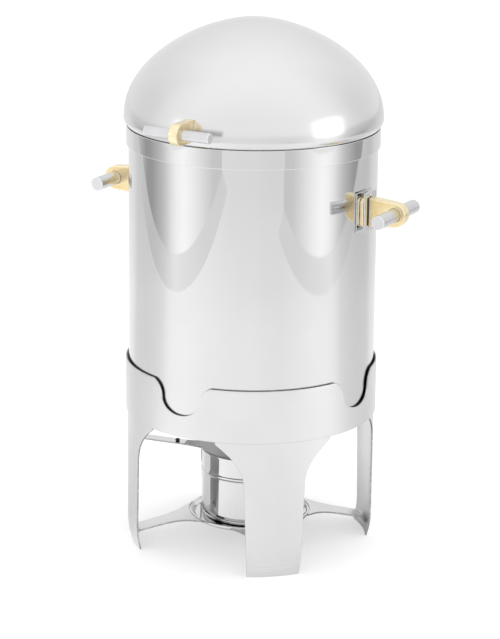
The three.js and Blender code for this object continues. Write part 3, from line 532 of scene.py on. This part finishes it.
along = np.concatenate([np.linspace(0, 0.6, 34), np.linspace(0.6, 1, 14)[1:]])
line = armLine(along)
heading = unit(np.gradient(line, axis=0))
offset = np.stack([-heading[:, 1], heading[:, 0]], -1) * armShape["wall"] / 2
narrow = np.clip((armShape["bend"][0] - line[:, 0]) / 61.6, 0, None) ** armShape["flarePower"]
halfWidth = armShape["halfWidth"] + armShape["flare"] * narrow
sweep = np.degrees(np.arcsin(np.linspace(-1, 1, 23)[:, None] * halfWidth / line[:, 0]))
for k, armName in enumerate(armNames):
    azimuth = collar["firstLeg"] + 90 * k
    upper = polar(azimuth + sweep, line[:, 0] + offset[:, 0], line[:, 1] + offset[:, 1])
    lower = polar(azimuth + sweep, line[:, 0] - offset[:, 0], line[:, 1] - offset[:, 1])
    makePiece(armName, [walled(upper, lower, 0.4)], "stand", "satin_steel", [f"tray_arm_{k + 1}"])
print("stand made")

vessel = {"radius": 144.5, "wall": 1.2, "bottom": 180.7, "top": 489.0}
outer, inner = vessel["radius"], vessel["radius"] - vessel["wall"]
low, high = vessel["bottom"], vessel["top"]
profile = rounded([(0, low), (outer, low), (outer, high), (inner, high), (inner, low + 1.2), (0, low + 1.2)],
                  [0, 5, 0.35, 0.35, 3.8, 0], closed=False, steps=6)
makePiece("waterVessel", [turned(*filled(*profile, 16), segments=256)],
          "vessel", "polished_steel", ["water_jacket"])

band = {"inner": 144.8, "outer": 147.1, "wall": 1.2, "bottom": 481.7, "step": 489.3, "top": 503.7}
lip = band["outer"] - band["wall"]
profile = rounded([(band["inner"], band["bottom"]), (band["outer"], band["bottom"]),
                   (band["outer"], band["top"]), (lip, band["top"]), (lip, band["step"]),
                   (band["inner"], band["step"])], [0.2, 0.5, 0.35, 0.35, 0.2, 0.2])
makePiece("vesselCollar", [turned(*profile, segments=256)], "vessel", "polished_steel", ["jacket_collar"])

pan = {"radius": 125.5, "rimRadius": 145.2, "wall": 1.2, "top": 490.5, "bottom": 268.5, "corner": 18}
thin = pan["wall"]
profile = rounded([
    (0, pan["bottom"]), (pan["radius"], pan["bottom"]), (pan["radius"], pan["top"] - thin),
    (pan["rimRadius"], pan["top"] - thin), (pan["rimRadius"], pan["top"]),
    (pan["radius"] - thin, pan["top"]), (pan["radius"] - thin, pan["bottom"] + thin),
    (0, pan["bottom"] + thin)],
    [0, pan["corner"], 1.0, 0.5, 0.5, 2.2, pan["corner"] - thin, 0], closed=False, steps=8)
makePiece("soupInsert", [turned(*filled(*profile, 16))], "vessel", "satin_steel", ["soup_pan"])
print("vessel made")

handle = {"x": 184.0, "z": 419.3, "barRadius": 8.0, "barLength": 94.0, "eyeRadius": 14.0,
          "holeRadius": 8.06, "bracketWidth": 12.4, "bracketHalfHeight": 16.7, "bracketX": 153.1,
          "saddleInner": 144.8, "saddleOuter": 145.7, "saddleHalfAngle": 8.0, "halfHeight": 23.0,
          "blockHalfWidth": 14.0, "blockHalfHeight": 17.0, "blockCorner": 5.0, "blockBack": 146.0,
          "blockX": 149.8, "clampX": (150.1, 151.9),
          "sealX": (152.1, 152.9), "sealHalf": (5.6, 16.1), "screwZ": 19.6}


# The outline of a bracket: a flat base at zero, straight sides that touch a round eye at `reach`.
def bracketOutline(reach, baseHalf, eyeRadius, corner=1.2):
    slope = math.asin((baseHalf - eyeRadius) / reach)
    touch = math.pi / 2 - slope
    a = np.linspace(-touch, touch, 49)
    eye = np.stack([reach + eyeRadius * np.cos(a), eyeRadius * np.sin(a)], -1)
    t = np.linspace(0, 1, 9)[1:-1, None]
    bend = np.linspace(0, math.pi / 2, 6)
    upper = np.stack([corner * (1 - np.sin(bend)), baseHalf - corner * (1 - np.cos(bend))], -1)
    lower = upper[::-1] * (1, -1)
    flat = mix(upper[-1], lower[0], t)
    return np.concatenate([eye, mix(eye[-1], upper[0], t), upper, flat, lower, mix(lower[-1], eye[0], t)])


# A bar turned along one axis: flat ends with a rounded edge.
def barGrid(radius, length, axis, centre, edge=0.8, segments=72):
    profile = rounded([(0, -length / 2), (radius, -length / 2), (radius, length / 2), (0, length / 2)],
                      [0, edge, edge, 0], closed=False, steps=5)
    return turned(*filled(*profile, 2.5), segments=segments, axis=axis, centre=centre)


# A screw with a low domed head: shank from `start` to `seat`, head of height h above it.
def screwGrid(shank, head, start, seat, rise, axis, centre):
    a = np.linspace(0, math.pi / 2, 7)
    crown = np.stack([head * np.cos(a) ** 0.7, seat + 0.3 + (rise - 0.3) * np.sin(a)], -1)
    crown[-1, 0] = 0
    profile = np.concatenate([[(0, start), (shank, start), (shank, seat), (head * 0.96, seat)], crown])
    mask = np.array([0, 1, 0, 0] + [1] * 3 + [0] * 4)
    return turned(profile, mask, segments=32, axis=axis, centre=centre)


def flatGrid(xs, ys, zs):
    return np.stack(np.broadcast_arrays(xs, ys, zs), -1)


def sideHandle(side, turn):
    h = handle
    z = h["z"]
    up = np.linspace(-h["halfHeight"], h["halfHeight"], 15) + z
    wide = np.linspace(-1, 1, 19)[:, None]

    def make(piece, grids, slotName, *nodes):
        makePiece(f"{side}{piece}", [placed(g, turn) for g in grids], "vessel", slotName,
                  [f"{side}_{n}" for n in nodes])

    azimuth = 90 + wide * h["saddleHalfAngle"]
    make("Saddle", [walled(polar(azimuth, h["saddleOuter"], up), polar(azimuth, h["saddleInner"], up), 0.3)],
         "polished_steel", "mount_plate")
    # the spacer's corners are quarter circles: height H - c (1 - sqrt(1 - t^2)) within c of its sides
    y = np.sin(wide * math.pi / 2) * h["blockHalfWidth"]
    corner = h["blockCorner"]
    t = np.clip((np.abs(y) - h["blockHalfWidth"] + corner) / corner, 0, 1)
    inside = z + np.linspace(-1, 1, 15) * (h["blockHalfHeight"] - corner * (1 - np.sqrt(1 - t ** 2)))
    back = flatGrid(np.sqrt(h["blockBack"] ** 2 - y ** 2), y, inside)
    make("Spacer", [walled(flatGrid(h["blockX"] + 0 * y, y, inside), back, 1.2)], "brass", "spacer_block")
    x0, x1 = h["clampX"]
    make("Clamp", [walled(flatGrid(x1 + 0 * y, y, up), flatGrid(x0 + 0 * y, y, up), 0.5)],
         "polished_steel", "clamp_plate")
    halfY, halfZ = h["sealHalf"]
    x0, x1 = h["sealX"]
    sealY = wide * halfY
    sealZ = z + np.linspace(-halfZ, halfZ, 17)
    outerFace = flatGrid(x1 + 0 * sealY, sealY, sealZ)
    innerFace = flatGrid(x0 + 0 * sealY, sealY, sealZ)
    make("Seal", [walled(outerFace, innerFace, 0.5)], "black_gasket", "gasket")
    outline = bracketOutline(h["x"] - h["bracketX"], h["bracketHalfHeight"], h["eyeRadius"])
    plate, edge = holedPlate(outline, (h["x"] - h["bracketX"], 0), h["holeRadius"],
                             h["bracketWidth"] / 2, 0.7)
    plate = np.stack([plate[..., 0] + h["bracketX"], -plate[..., 2], plate[..., 1] + z], -1)
    make("Bracket", [(plate, edge)], "brass", "bracket")
    make("Grip", [barGrid(h["barRadius"], h["barLength"], 1, (h["x"], 0, z))], "satin_bar", "bar")
    seat = h["clampX"][1] + 0.1
    heads = [screwGrid(1.6, 2.6, 146.9, seat, 1.0, 0, (0, 0, z + dz)) for dz in (h["screwZ"], -h["screwZ"])]
    make("Screws", heads, "polished_steel", "screw_upper", "screw_lower")


sideHandle("right", 0)
sideHandle("left", 180)
print("side handles made")

dome = {"radius": 150.0, "widest": 512.5, "height": 115.4, "sidePower": 1.232, "risePower": 0.974,
        "wall": 1.5, "edge": (146.0, 504.3), "curl": (149.2, 508.2), "capFrom": 26.0}


# r = R cos(a) ^ 1.232, z = widest + H sin(a) ^ 0.974, for t from 0 to 1 and a = t pi / 2
def domeCurve(t):
    a = t * math.pi / 2
    return np.stack([dome["radius"] * np.cos(a) ** dome["sidePower"],
                     dome["widest"] + dome["height"] * np.sin(a) ** dome["risePower"]], -1)


# The radius at a height, from the same two powers.
def domeRadius(z):
    rise = np.clip((z - dome["widest"]) / dome["height"], 0, 1)
    return dome["radius"] * np.sqrt(1 - rise ** (2 / dome["risePower"])) ** dome["sidePower"]


# The outside from its lower edge to the top: the curled edge, the curve above, and within capFrom
# a sphere that meets the curve with the same slope.
def domeOutside():
    curve = domeCurve(np.linspace(0, 0.97, 400))
    slopes = np.gradient(curve[:, 1], curve[:, 0])
    joint = np.searchsorted(-curve[:, 0], -dome["capFrom"])
    r0, z0, slope = curve[joint, 0], curve[joint, 1], slopes[joint]
    ball = r0 * math.sqrt(1 + slope ** 2) / abs(slope)
    r = r0 * np.cos(np.linspace(0, 1, 12) * math.pi / 2)
    r[-1] = 0
    cap = np.stack([r, z0 + np.sqrt(ball ** 2 - r ** 2) - math.sqrt(ball ** 2 - r0 ** 2)], -1)
    side = curve[:joint]
    length = np.append(0, np.cumsum(np.linalg.norm(np.diff(side, axis=0), axis=1)))
    at = np.linspace(0, length[-1], 46)
    side = np.stack([np.interp(at, length, side[:, 0]), np.interp(at, length, side[:, 1])], -1)
    e, c = np.array(dome["edge"]), np.array(dome["curl"])
    b = np.linspace(0, 1, 9)[:-1, None]
    bow = np.array([dome["radius"] + 0.05, dome["widest"] - 1.4])
    curl = (1 - b) ** 3 * e + 3 * (1 - b) ** 2 * b * c + 3 * (1 - b) * b ** 2 * bow + b ** 3 * side[0]
    return np.concatenate([curl, side, cap])


outside = domeOutside()
heading = unit(np.gradient(outside, axis=0))
inside = outside + np.stack([-heading[:, 1], heading[:, 0]], -1) * dome["wall"]
inside[-1, 0] = 0
rim = (inside[0] + outside[0]) / 2
profile = np.concatenate([inside[::-1], rim[None], outside])
mask = np.concatenate([np.zeros(len(inside) - 1), [1, 1, 1, 0.6], np.zeros(len(outside) - 2)])
makePiece("domeCover", [turned(profile, mask, segments=256)], "cover", "dome_steel", ["dome_cover"])

skirt = rounded([(141.9, 497.0), (143.4, 497.0), (143.4, 505.3), (141.9, 505.3)], 0.4)
makePiece("coverSkirt", [turned(*skirt)], "cover", "satin_steel", ["cover_skirt"])

coverHandle = {"y": -174.0, "z": 522.6, "barRadius": 6.1, "barLength": 82.0, "eyeRadius": 12.2,
            "holeRadius": 6.16, "width": 10.6, "halfHeight": 12.4, "baseY": -152.8, "seatY": -152.5,
            "screwZ": 7.0}
h = coverHandle
up = np.linspace(-h["halfHeight"], h["halfHeight"], 19) + h["z"]
wide = np.linspace(-1, 1, 15)[:, None] * h["width"] / 2
front = flatGrid(wide, h["seatY"] + 0 * up, up)
back = flatGrid(wide, -np.sqrt((domeRadius(up) + 0.3) ** 2 - wide ** 2), up)
makePiece("coverSeat", [walled(front, back, 0.3)], "cover", "brass", ["cover_handle_base"])
reach = h["baseY"] - h["y"]
outline = bracketOutline(reach, h["halfHeight"], h["eyeRadius"], 0.8)
plate, edge = holedPlate(outline, (reach, 0), h["holeRadius"], h["width"] / 2, 0.7)
plate = np.stack([plate[..., 2], h["baseY"] - plate[..., 0], plate[..., 1] + h["z"]], -1)
makePiece("coverBracket", [(plate, edge)], "cover", "brass", ["cover_bracket"])
makePiece("coverGrip", [barGrid(h["barRadius"], h["barLength"], 0, (0, h["y"], h["z"]))],
          "cover", "satin_bar", ["cover_bar"])
screws = []
for dz in (h["screwZ"], -h["screwZ"]):
    seat = float(domeRadius(h["z"] + dz + 4)) - dome["wall"] - 1.2
    # from inside the bracket's base to a head on the dome's inner face
    screws.append(screwGrid(2.0, 4.0, -156.0, -seat, 2.5, 1, (0, 0, h["z"] + dz)))
makePiece("coverScrews", screws, "cover", "polished_steel", ["cover_screw_upper", "cover_screw_lower"])
print("cover made")

hinge = {"y": 171.0, "z": 507.0, "pinRadius": 3.0, "pinHalf": 24.0, "knuckle": 6.5, "ear": 10.0,
         "earX": (18.0, 21.0), "leafInner": 147.4, "leafOuter": 149.2, "leafZ": (483.2, 500.7),
         "leafHalf": 15.0, "coverLeafZ": (513.5, 545.5), "coverLeafHalf": 6.8, "armHalf": 17.5}
pin = barGrid(hinge["pinRadius"], 2 * hinge["pinHalf"], 0, (0, hinge["y"], hinge["z"]), 0.5, 40)
makePiece("hingePin", [pin], "vessel", "polished_steel", ["hinge_pin"])


# Arc points about the hinge's centre in the Y-Z plane.
def hingeArc(radius, start, end, count=25):
    a = np.linspace(start, end, count) * math.pi
    return np.stack([hinge["y"] + radius * np.cos(a), hinge["z"] + radius * np.sin(a)], -1)


def densely(points, limit=2.0):
    closed = np.concatenate([points, points[:1]])
    return filled(closed, np.zeros(len(closed)), limit)[0]


def hingePlate(outline, x0, x1):
    plate, edge = holedPlate(densely(outline), (hinge["y"], hinge["z"]), hinge["pinRadius"] + 0.08,
                             (x1 - x0) / 2, 0.4)
    return np.stack([plate[..., 2] + (x0 + x1) / 2, plate[..., 0], plate[..., 1]], -1), edge


leafLow, leafHigh = hinge["leafZ"]
spread = 180 + np.linspace(-1, 1, 41)[:, None] * hinge["leafHalf"]
up = np.linspace(leafLow, leafHigh, 13)
ear = np.concatenate([[(147.2, leafLow)], hingeArc(hinge["ear"], -1 / 3, 0.72), [(147.2, 498.8)]])
grids = [walled(polar(spread, hinge["leafOuter"], up), polar(spread, hinge["leafInner"], up), 0.4)]
x0, x1 = hinge["earX"]
grids += [hingePlate(ear, x0, x1), hingePlate(ear, -x1, -x0)]
makePiece("hingeFixedLeaf", grids, "vessel", "polished_steel", ["hinge_leaf_jacket"])

coverLow, coverHigh = hinge["coverLeafZ"]
spread = 180 + np.linspace(-1, 1, 31)[:, None] * hinge["coverLeafHalf"]
up = np.linspace(coverLow, coverHigh, 23)
follow = [polar(spread, domeRadius(up) + gap, up) for gap in (2.1, 0.3)]
arm = np.concatenate([hingeArc(hinge["knuckle"], -0.62, 0.42), [(150.9, 529.5), (150.9, 513.5)]])
makePiece("hingeMovingLeaf", [walled(*follow, 0.4), hingePlate(arm, -hinge["armHalf"], hinge["armHalf"])],
          "cover", "polished_steel", ["hinge_leaf_cover"])


# Rivets through a leaf: heads outwards, at +-step degrees of the back's middle.
def rivetGrids(radiusInner, radiusOuter, z, step):
    grid = screwGrid(2.0, 3.6, radiusInner, radiusOuter, 1.3, 1, (0, 0, z))
    return [placed(grid, s * step) for s in (1, -1)]


z = (leafLow + leafHigh) / 2
makePiece("collarRivets", rivetGrids(hinge["leafInner"], hinge["leafOuter"] + 0.3, z, 12),
          "vessel", "polished_steel", ["collar_rivet_right", "collar_rivet_left"])
z = coverHigh - 7
radiusThere = float(domeRadius(z))
makePiece("coverRivets", rivetGrids(radiusThere + 0.3, radiusThere + 3.1, z, 4), "cover", "polished_steel",
          ["cover_rivet_right", "cover_rivet_left"])
print("hinge made")

cup = {"radius": 57.3, "wall": 1.2, "bottom": 29.3, "top": 110.0, "bead": 1.6, "beadZ": 87.0,
       "beadHalf": 3.4}


# The cup's side: its radius grows by bead * cos^2 across the bead, on both faces.
def cupSide(zs, inset):
    t = np.clip((zs - cup["beadZ"]) / cup["beadHalf"], -1, 1)
    return np.stack([cup["radius"] - inset + cup["bead"] * np.cos(t * math.pi / 2) ** 2, zs], -1)


beadZs = cup["beadZ"] + cup["beadHalf"] * np.linspace(-1.05, 1.05, 15)
low, thin = cup["bottom"], cup["wall"]
lower = rounded([(0, low), (cup["radius"], low), (cup["radius"], low + 40)], [0, 6, 0], closed=False, steps=7)
upper = rounded([(cup["radius"], 100), (cup["radius"], cup["top"]), (cup["radius"] - thin, cup["top"]),
                 (cup["radius"] - thin, 100)], [0, 0.45, 0.45, 0], closed=False)
innerLow = rounded([(cup["radius"] - thin, low + 40), (cup["radius"] - thin, low + thin), (0, low + thin)],
                   [0, 4.8, 0], closed=False, steps=7)
profile = np.concatenate([lower[0], cupSide(beadZs, 0), upper[0], cupSide(beadZs[::-1], thin), innerLow[0]])
mask = np.concatenate([lower[1] * 0, np.zeros(15), upper[1], np.zeros(15), innerLow[1] * 0])
makePiece("fuelCup", [turned(*filled(profile, mask, 5), segments=160)],
          "fuel_holder", "polished_steel", ["fuel_cup"])

damper = {"radius": 58.8, "low": 110.3, "high": 111.8, "azimuth": -83.0, "offset": 17.0, "halfWidth": 8.0,
          "reach": 134.0, "taperEnd": 80.0, "taper": 20.0, "bulge": 0.8, "upperAngle": 0.5,
          "pivotRadius": 50.0, "knobAlong": 87.0}
tab = {"low": 103.0, "high": 106.0, "outer": 55.8, "outerHalfAngle": 8, "inner": 44.0, "innerHalfAngle": 9}
post = {"radius": 2.4, "head": 4.4, "low": 101.0, "seat": 112.1, "rise": 1.5}


# A quadratic curve (1-t)^2 a + 2 t (1-t) b + t^2 c
def quadratic(a, b, c, count=15):
    t = np.linspace(0, 1, count)[:, None]
    return (1 - t) ** 2 * np.array(a) + 2 * t * (1 - t) * np.array(b) + t ** 2 * np.array(c)


# The damper's two sides as y over x: a half disc, a curve into the lever, and the lever's round end.
def damperSide(sign):
    bend = damper["taperEnd"] - damper["taper"]
    side = damper["offset"] + sign * damper["halfWidth"]
    leave = damper["upperAngle"] if sign > 0 else 0.0
    a = np.linspace(math.pi, leave, 60)
    disc = damper["radius"] * np.stack([np.cos(a), sign * np.sin(a)], -1)
    curve = quadratic(disc[-1], (bend, side + sign * damper["bulge"]), (damper["taperEnd"], side))
    b = np.linspace(math.pi / 2, 0, 13)
    end = np.stack([damper["reach"] + damper["halfWidth"] * (np.cos(b) - 1),
                    damper["offset"] + sign * damper["halfWidth"] * np.sin(b)], -1)
    whole = np.concatenate([disc, curve[1:], end])
    whole[:, 0] = np.maximum.accumulate(whole[:, 0] + np.arange(len(whole)) * 1e-7)
    return whole


leftSide, rightSide = damperSide(1), damperSide(-1)
xs = np.unique(np.concatenate([leftSide[:, 0], rightSide[:, 0], np.linspace(-58, 134, 70)]).round(3))
xs = np.clip(xs, -damper["radius"] + 0.02, damper["reach"] - 0.02)
xs = xs[np.append(True, np.diff(xs) > 0.02)]
low = np.interp(xs, rightSide[:, 0], rightSide[:, 1])[:, None]
high = np.interp(xs, leftSide[:, 0], leftSide[:, 1])[:, None]
ys = mix(low, high, np.linspace(0, 1, 17))
lid = walled(flatGrid(xs[:, None], ys, damper["high"]), flatGrid(xs[:, None], ys, damper["low"]), 0.3)
makePiece("damperLid", [placed(lid, damper["azimuth"] - 90)], "damper", "polished_steel", ["damper_lid"])

a = math.radians(damper["azimuth"])
leverX, leverY = math.sin(a), -math.cos(a)
pivot = polar(damper["azimuth"] - 90, damper["pivotRadius"], 0)
up = np.linspace(tab["low"], tab["high"], 5)
swing = np.linspace(-1, 1, 15)[:, None]
tabOuter = polar(damper["azimuth"] - 90 + swing * tab["outerHalfAngle"], tab["outer"], up)
tabInner = polar(damper["azimuth"] - 90 + swing * tab["innerHalfAngle"], tab["inner"], up)
makePiece("damperTab", [walled(tabOuter, tabInner, 0.4)], "fuel_holder", "polished_steel", ["damper_lug"])
grid = screwGrid(post["radius"], post["head"], post["low"], post["seat"], post["rise"], 2,
                 (pivot[0], pivot[1], 0))
makePiece("damperPost", [grid], "fuel_holder", "polished_steel", ["damper_rivet"])
knobX = leverX * damper["knobAlong"] - leverY * damper["offset"]
knobY = leverY * damper["knobAlong"] + leverX * damper["offset"]
knob = rounded([(0, 112.1), (2.4, 112.1), (2.9, 113.2), (2.2, 114.5), (0, 114.9)], 0.7, closed=False, steps=5)
makePiece("damperKnob", [turned(*knob, segments=40, centre=(knobX, knobY, 0))],
          "damper", "black_knob", ["damper_knob"])
print("fuel holder made;", pieceCount, "pieces")

def relative(azimuth, distance, z=0.0):
    a = math.radians(azimuth + cameraAzimuth)
    return Vector((distance * math.sin(a), -distance * math.cos(a), z))


def stageMesh(name, corners, material):
    mesh = bpy.data.meshes.new(name)
    mesh.from_pydata(corners, [], [tuple(range(len(corners)))])
    made = bpy.data.objects.new(name, mesh)
    scene.collection.objects.link(made)
    mesh.materials.append(material)
    return made


# A brightness that follows the turn from the camera's side, as (share of the half turn, level) pairs:
# share 1 is towards the camera and 0 is behind the vessel.
def levels(tree, pairs, direction):
    top = max(level for _, level in pairs)
    flatWay = addNode(tree, "ShaderNodeVectorMath", {0: direction, 1: (1, 1, 0)}, operation="MULTIPLY")
    way = addNode(tree, "ShaderNodeVectorMath", {0: flatWay.outputs[0]}, operation="NORMALIZE")
    facing = addNode(tree, "ShaderNodeVectorMath", {0: way.outputs[0], 1: tuple(relative(0, 1.0))},
                     operation="DOT_PRODUCT")
    turn = addNode(tree, "ShaderNodeMapRange", {"Value": facing.outputs["Value"], "From Min": -1.0,
                   "From Max": 1.0})
    return scaledCurve(tree, pairs, turn.outputs[0], top)


# A smooth curve through (position, level) pairs with positions from 0 to 1.
def scaledCurve(tree, pairs, value, top, handle="AUTO_CLAMPED"):
    made = addNode(tree, "ShaderNodeFloatCurve", {"Value": value})
    curve = made.mapping.curves[0]
    for k, (at, level) in enumerate(pairs):
        if k in (0, len(pairs) - 1):
            curve.points[0 if k == 0 else -1].location = (at, level / top)
        else:
            curve.points.new(at, level / top)
    for point in curve.points:
        point.handle_type = handle
    made.mapping.update()
    return addNode(tree, "ShaderNodeMath", {0: made.outputs[0], 1: top}, operation="MULTIPLY").outputs[0]


# The floor is a pale sheet lit evenly from below as well, so its shadows stay faint; to the camera it glows
# evenly, while in reflections its glow is painted light and shade.
floorLook = {"paint": 0.55, "below": 0.47}
# painted light in reflections: the floor's glow by the turn from the camera's side, brightest about 65
# degrees to either side
floorPaintedLight = [(0.0, 0.35), (0.1, 0.35), (0.22, 0.20), (0.36, 0.21), (0.5, 0.28), (0.71, 0.52),
               (0.86, 0.47), (1.0, 0.39)]
# painted shade in reflections: the glow drops within about 0.14 m of the middle, under the vessel, and again
# beyond about a metre
floorPaintedShade = [(0.0, 0.15), (0.03, 0.15), (0.047, 0.0), (0.35, 0.0), (0.48, 0.05), (0.7, 0.09),
             (1.0, 0.09)]  # over the first 3 metres
floorPaint = bpy.data.materials.new("floorPaint")
floorPaint.use_nodes = True
tree = floorPaint.node_tree
paint = tree.nodes["Principled BSDF"]
place = addNode(tree, "ShaderNodeTexCoord")
speckle = addNode(tree, "ShaderNodeTexNoise", {"Vector": place.outputs["Object"], "Scale": 3.0,
                  "Detail": 2.0})
tone = addNode(tree, "ShaderNodeMapRange", {"Value": speckle.outputs["Fac"],
               "To Min": floorLook["paint"] - 0.01, "To Max": floorLook["paint"] + 0.01})
tree.links.new(tone.outputs[0], paint.inputs["Base Color"])
paint.inputs["Roughness"].default_value = 0.9
paint.inputs["Specular IOR Level"].default_value = 0.1
paint.inputs["Emission Color"].default_value = (1, 1, 1, 1)
rays = addNode(tree, "ShaderNodeLightPath")
distance = addNode(tree, "ShaderNodeVectorMath", {0: place.outputs["Object"]}, operation="LENGTH")
share = addNode(tree, "ShaderNodeMath", {0: distance.outputs["Value"], 1: 3.0}, operation="DIVIDE",
                use_clamp=True)
paintedShade = scaledCurve(tree, floorPaintedShade, share.outputs[0], 0.2)
plainLevel = addNode(tree, "ShaderNodeMath", {0: levels(tree, floorPaintedLight, place.outputs["Object"]), 1: paintedShade},
                     operation="SUBTRACT")
# painted shade: in reflections the camera's right is a little dimmer: the sine of the azimuth, from 0 to
# 0.45, takes 0.08 away
sideways = addNode(tree, "ShaderNodeVectorMath", {0: place.outputs["Object"], 1: tuple(relative(90, 1.0))},
                   operation="DOT_PRODUCT")
sine = addNode(tree, "ShaderNodeMath", {0: sideways.outputs["Value"], 1: distance.outputs["Value"]},
               operation="DIVIDE")
paintedDimRight = addNode(tree, "ShaderNodeMapRange", {"Value": sine.outputs[0], "From Max": 0.45, "To Max": 0.08})
reflected = addNode(tree, "ShaderNodeMath", {0: plainLevel.outputs[0], 1: paintedDimRight.outputs[0]},
                    operation="SUBTRACT").outputs[0]
below = addNode(tree, "ShaderNodeMix", {"Factor": rays.outputs["Is Camera Ray"], "A": reflected,
                "B": floorLook["below"]}, data_type="FLOAT")
tree.links.new(below.outputs[0], paint.inputs["Emission Strength"])
floorSize = 9.0
stageMesh("studioFloor", [(-floorSize, -floorSize, 0), (floorSize, -floorSize, 0),
                          (floorSize, floorSize, 0), (-floorSize, floorSize, 0)], floorPaint)


# A glowing surface whose strength follows a ramp over one object coordinate, from low to high.
def glow(name, axis, low, high, steps):
    material = bpy.data.materials.new(name)
    material.use_nodes = True
    tree = material.node_tree
    tree.nodes.clear()
    place = addNode(tree, "ShaderNodeTexCoord")
    split = addNode(tree, "ShaderNodeSeparateXYZ", {0: place.outputs["Object"]})
    along = addNode(tree, "ShaderNodeMapRange", {"Value": split.outputs[axis], "From Min": low,
                    "From Max": high})
    pairs = [((at - low) / (high - low), value) for at, value in steps]
    strength = scaledCurve(tree, pairs, along.outputs[0], max(value for _, value in steps), "VECTOR")
    shine = addNode(tree, "ShaderNodeEmission", {"Strength": strength})
    addNode(tree, "ShaderNodeOutputMaterial", {"Surface": shine.outputs[0]})
    return material


# Low cards beyond the floor's lit middle, which the polished wall shows as tall dark bands.
# Each stands square to its direction; x runs along it in its own frame.
cards = {
    "leftCard": {"azimuth": -73.0, "near": 1.30, "far": 1.54, "sign": 1},
    "rightCard": {"azimuth": 63.5, "near": 1.30, "far": 1.54, "sign": -1},
}
cardLift = 0.004
# painted light and shade: the cards' and floor strips' glow peaks near the soft boxes' azimuths and falls off
# towards the back
cardTones = [(27, 0.78), (35, 0.80), (44, 0.98), (54, 1.18), (63, 1.30), (70, 1.22), (76, 1.06), (82, 0.83),
             (88, 0.66), (95, 0.54), (102, 0.43), (109, 0.42), (118, 0.60), (126, 0.70)]
stripTones = [(27, 0.88), (44, 0.91), (54, 0.98), (65, 1.04), (72, 1.08), (77, 0.99), (84, 0.85), (92, 0.75),
              (100, 0.70), (110, 0.72), (126, 0.80)]


def makeCard(name, card):
    normal = relative(card["azimuth"], 1.0)

    # distance along the card for each tone's azimuth from the camera's side
    def alongCard(tones):
        turns = [(math.radians(a - abs(card["azimuth"])), value) for a, value in tones]
        return sorted((card["far"] * math.tan(turn) * card["sign"], value) for turn, value in turns)

    tones = alongCard(cardTones)
    low, high = tones[0][0], tones[-1][0]
    for part, height in (("Strip", 0.0), ("Wall", 0.18)):
        near = card["near"] if part == "Strip" else card["far"]
        far = card["far"]
        # object coordinates: x along the card, y away from the vessel
        if part == "Strip":
            corners = [(low, near, 0), (high, near, 0), (high, far, 0), (low, far, 0)]
            material = glow(name + part, 0, low, high, alongCard(stripTones))
        else:
            corners = [(low, far, 0), (high, far, 0), (high, far, height), (low, far, height)]
            material = glow(name + part, 0, low, high, tones)
        made = stageMesh(name + part, corners, material)
        made.rotation_euler[2] = math.atan2(normal.y, normal.x) - math.pi / 2
        made.location.z = cardLift
        made.visible_camera = False
        made.visible_diffuse = False
        made.visible_shadow = False


for cardName, card in cards.items():
    makeCard(cardName, card)


# Tall soft boxes at the two front quarters: seen by the dome's lower sides and the bars.
softBoxes = {
    "rightBox": {"azimuth": 67, "distance": 2.3, "half": 0.66, "low": 0.25, "high": 1.12, "strength": 2.4},
    "leftBox": {"azimuth": -66, "distance": 2.3, "half": 0.30, "low": 0.52, "high": 1.00, "strength": 1.7},
}
for boxName, box in softBoxes.items():
    normal = relative(box["azimuth"], 1.0)
    corners = [(-box["half"], box["distance"], box["low"]), (box["half"], box["distance"], box["low"]),
               (box["half"], box["distance"], box["high"]), (-box["half"], box["distance"], box["high"])]
    s = box["strength"]
    w = box["half"]
    material = glow(boxName, 0, -w, w, [(-w, s * 0.5), (-w * 0.5, s), (w * 0.5, s), (w, s * 0.5)])
    made = stageMesh(boxName, corners, material)
    made.rotation_euler[2] = math.atan2(normal.y, normal.x) - math.pi / 2
    made.visible_camera = False

# A wide lamp overhead, for the floor only: no steel shows it.
lamp = {"at": (0.0, 0.0, 3.2), "size": 3.6, "energy": 26.0}
light = bpy.data.lights.new("overhead", "AREA")
light.shape = "DISK"
light.size = lamp["size"]
light.energy = lamp["energy"]
made = bpy.data.objects.new("overhead", light)
made.location = lamp["at"]
made.visible_glossy = False
made.visible_camera = False
scene.collection.objects.link(made)

# The room: its brightness follows the height of the direction and its turn from the camera's side.
room = bpy.data.worlds.new("studioRoom")
scene.world = room
room.use_nodes = True
tree = room.node_tree
tree.nodes.clear()
place = addNode(tree, "ShaderNodeTexCoord")
split = addNode(tree, "ShaderNodeSeparateXYZ", {0: place.outputs["Generated"]})
around = levels(tree, [(0.0, 0.93), (0.115, 0.93), (0.25, 0.88), (0.35, 0.88), (0.5, 1.0), (0.75, 1.12),
                       (0.93, 1.08), (1.0, 1.07)], place.outputs["Generated"])
upward = scaledCurve(tree, [(0.0, 0.0), (0.25, 0.0), (0.6, 0.3), (1.0, 1.0)], split.outputs["Z"], 1.0)
tone = addNode(tree, "ShaderNodeMix", {"Factor": upward, "A": around, "B": 1.18}, data_type="FLOAT")
rays = addNode(tree, "ShaderNodeLightPath")
plain = addNode(tree, "ShaderNodeMix", {"Factor": rays.outputs["Is Camera Ray"], "A": tone.outputs[0],
                "B": 1.05}, data_type="FLOAT")
sky = addNode(tree, "ShaderNodeBackground", {"Color": (1, 1, 1, 1), "Strength": plain.outputs[0]})
addNode(tree, "ShaderNodeOutputWorld", {"Surface": sky.outputs[0]})

scene.view_settings.view_transform = "Standard"
print("stage made")
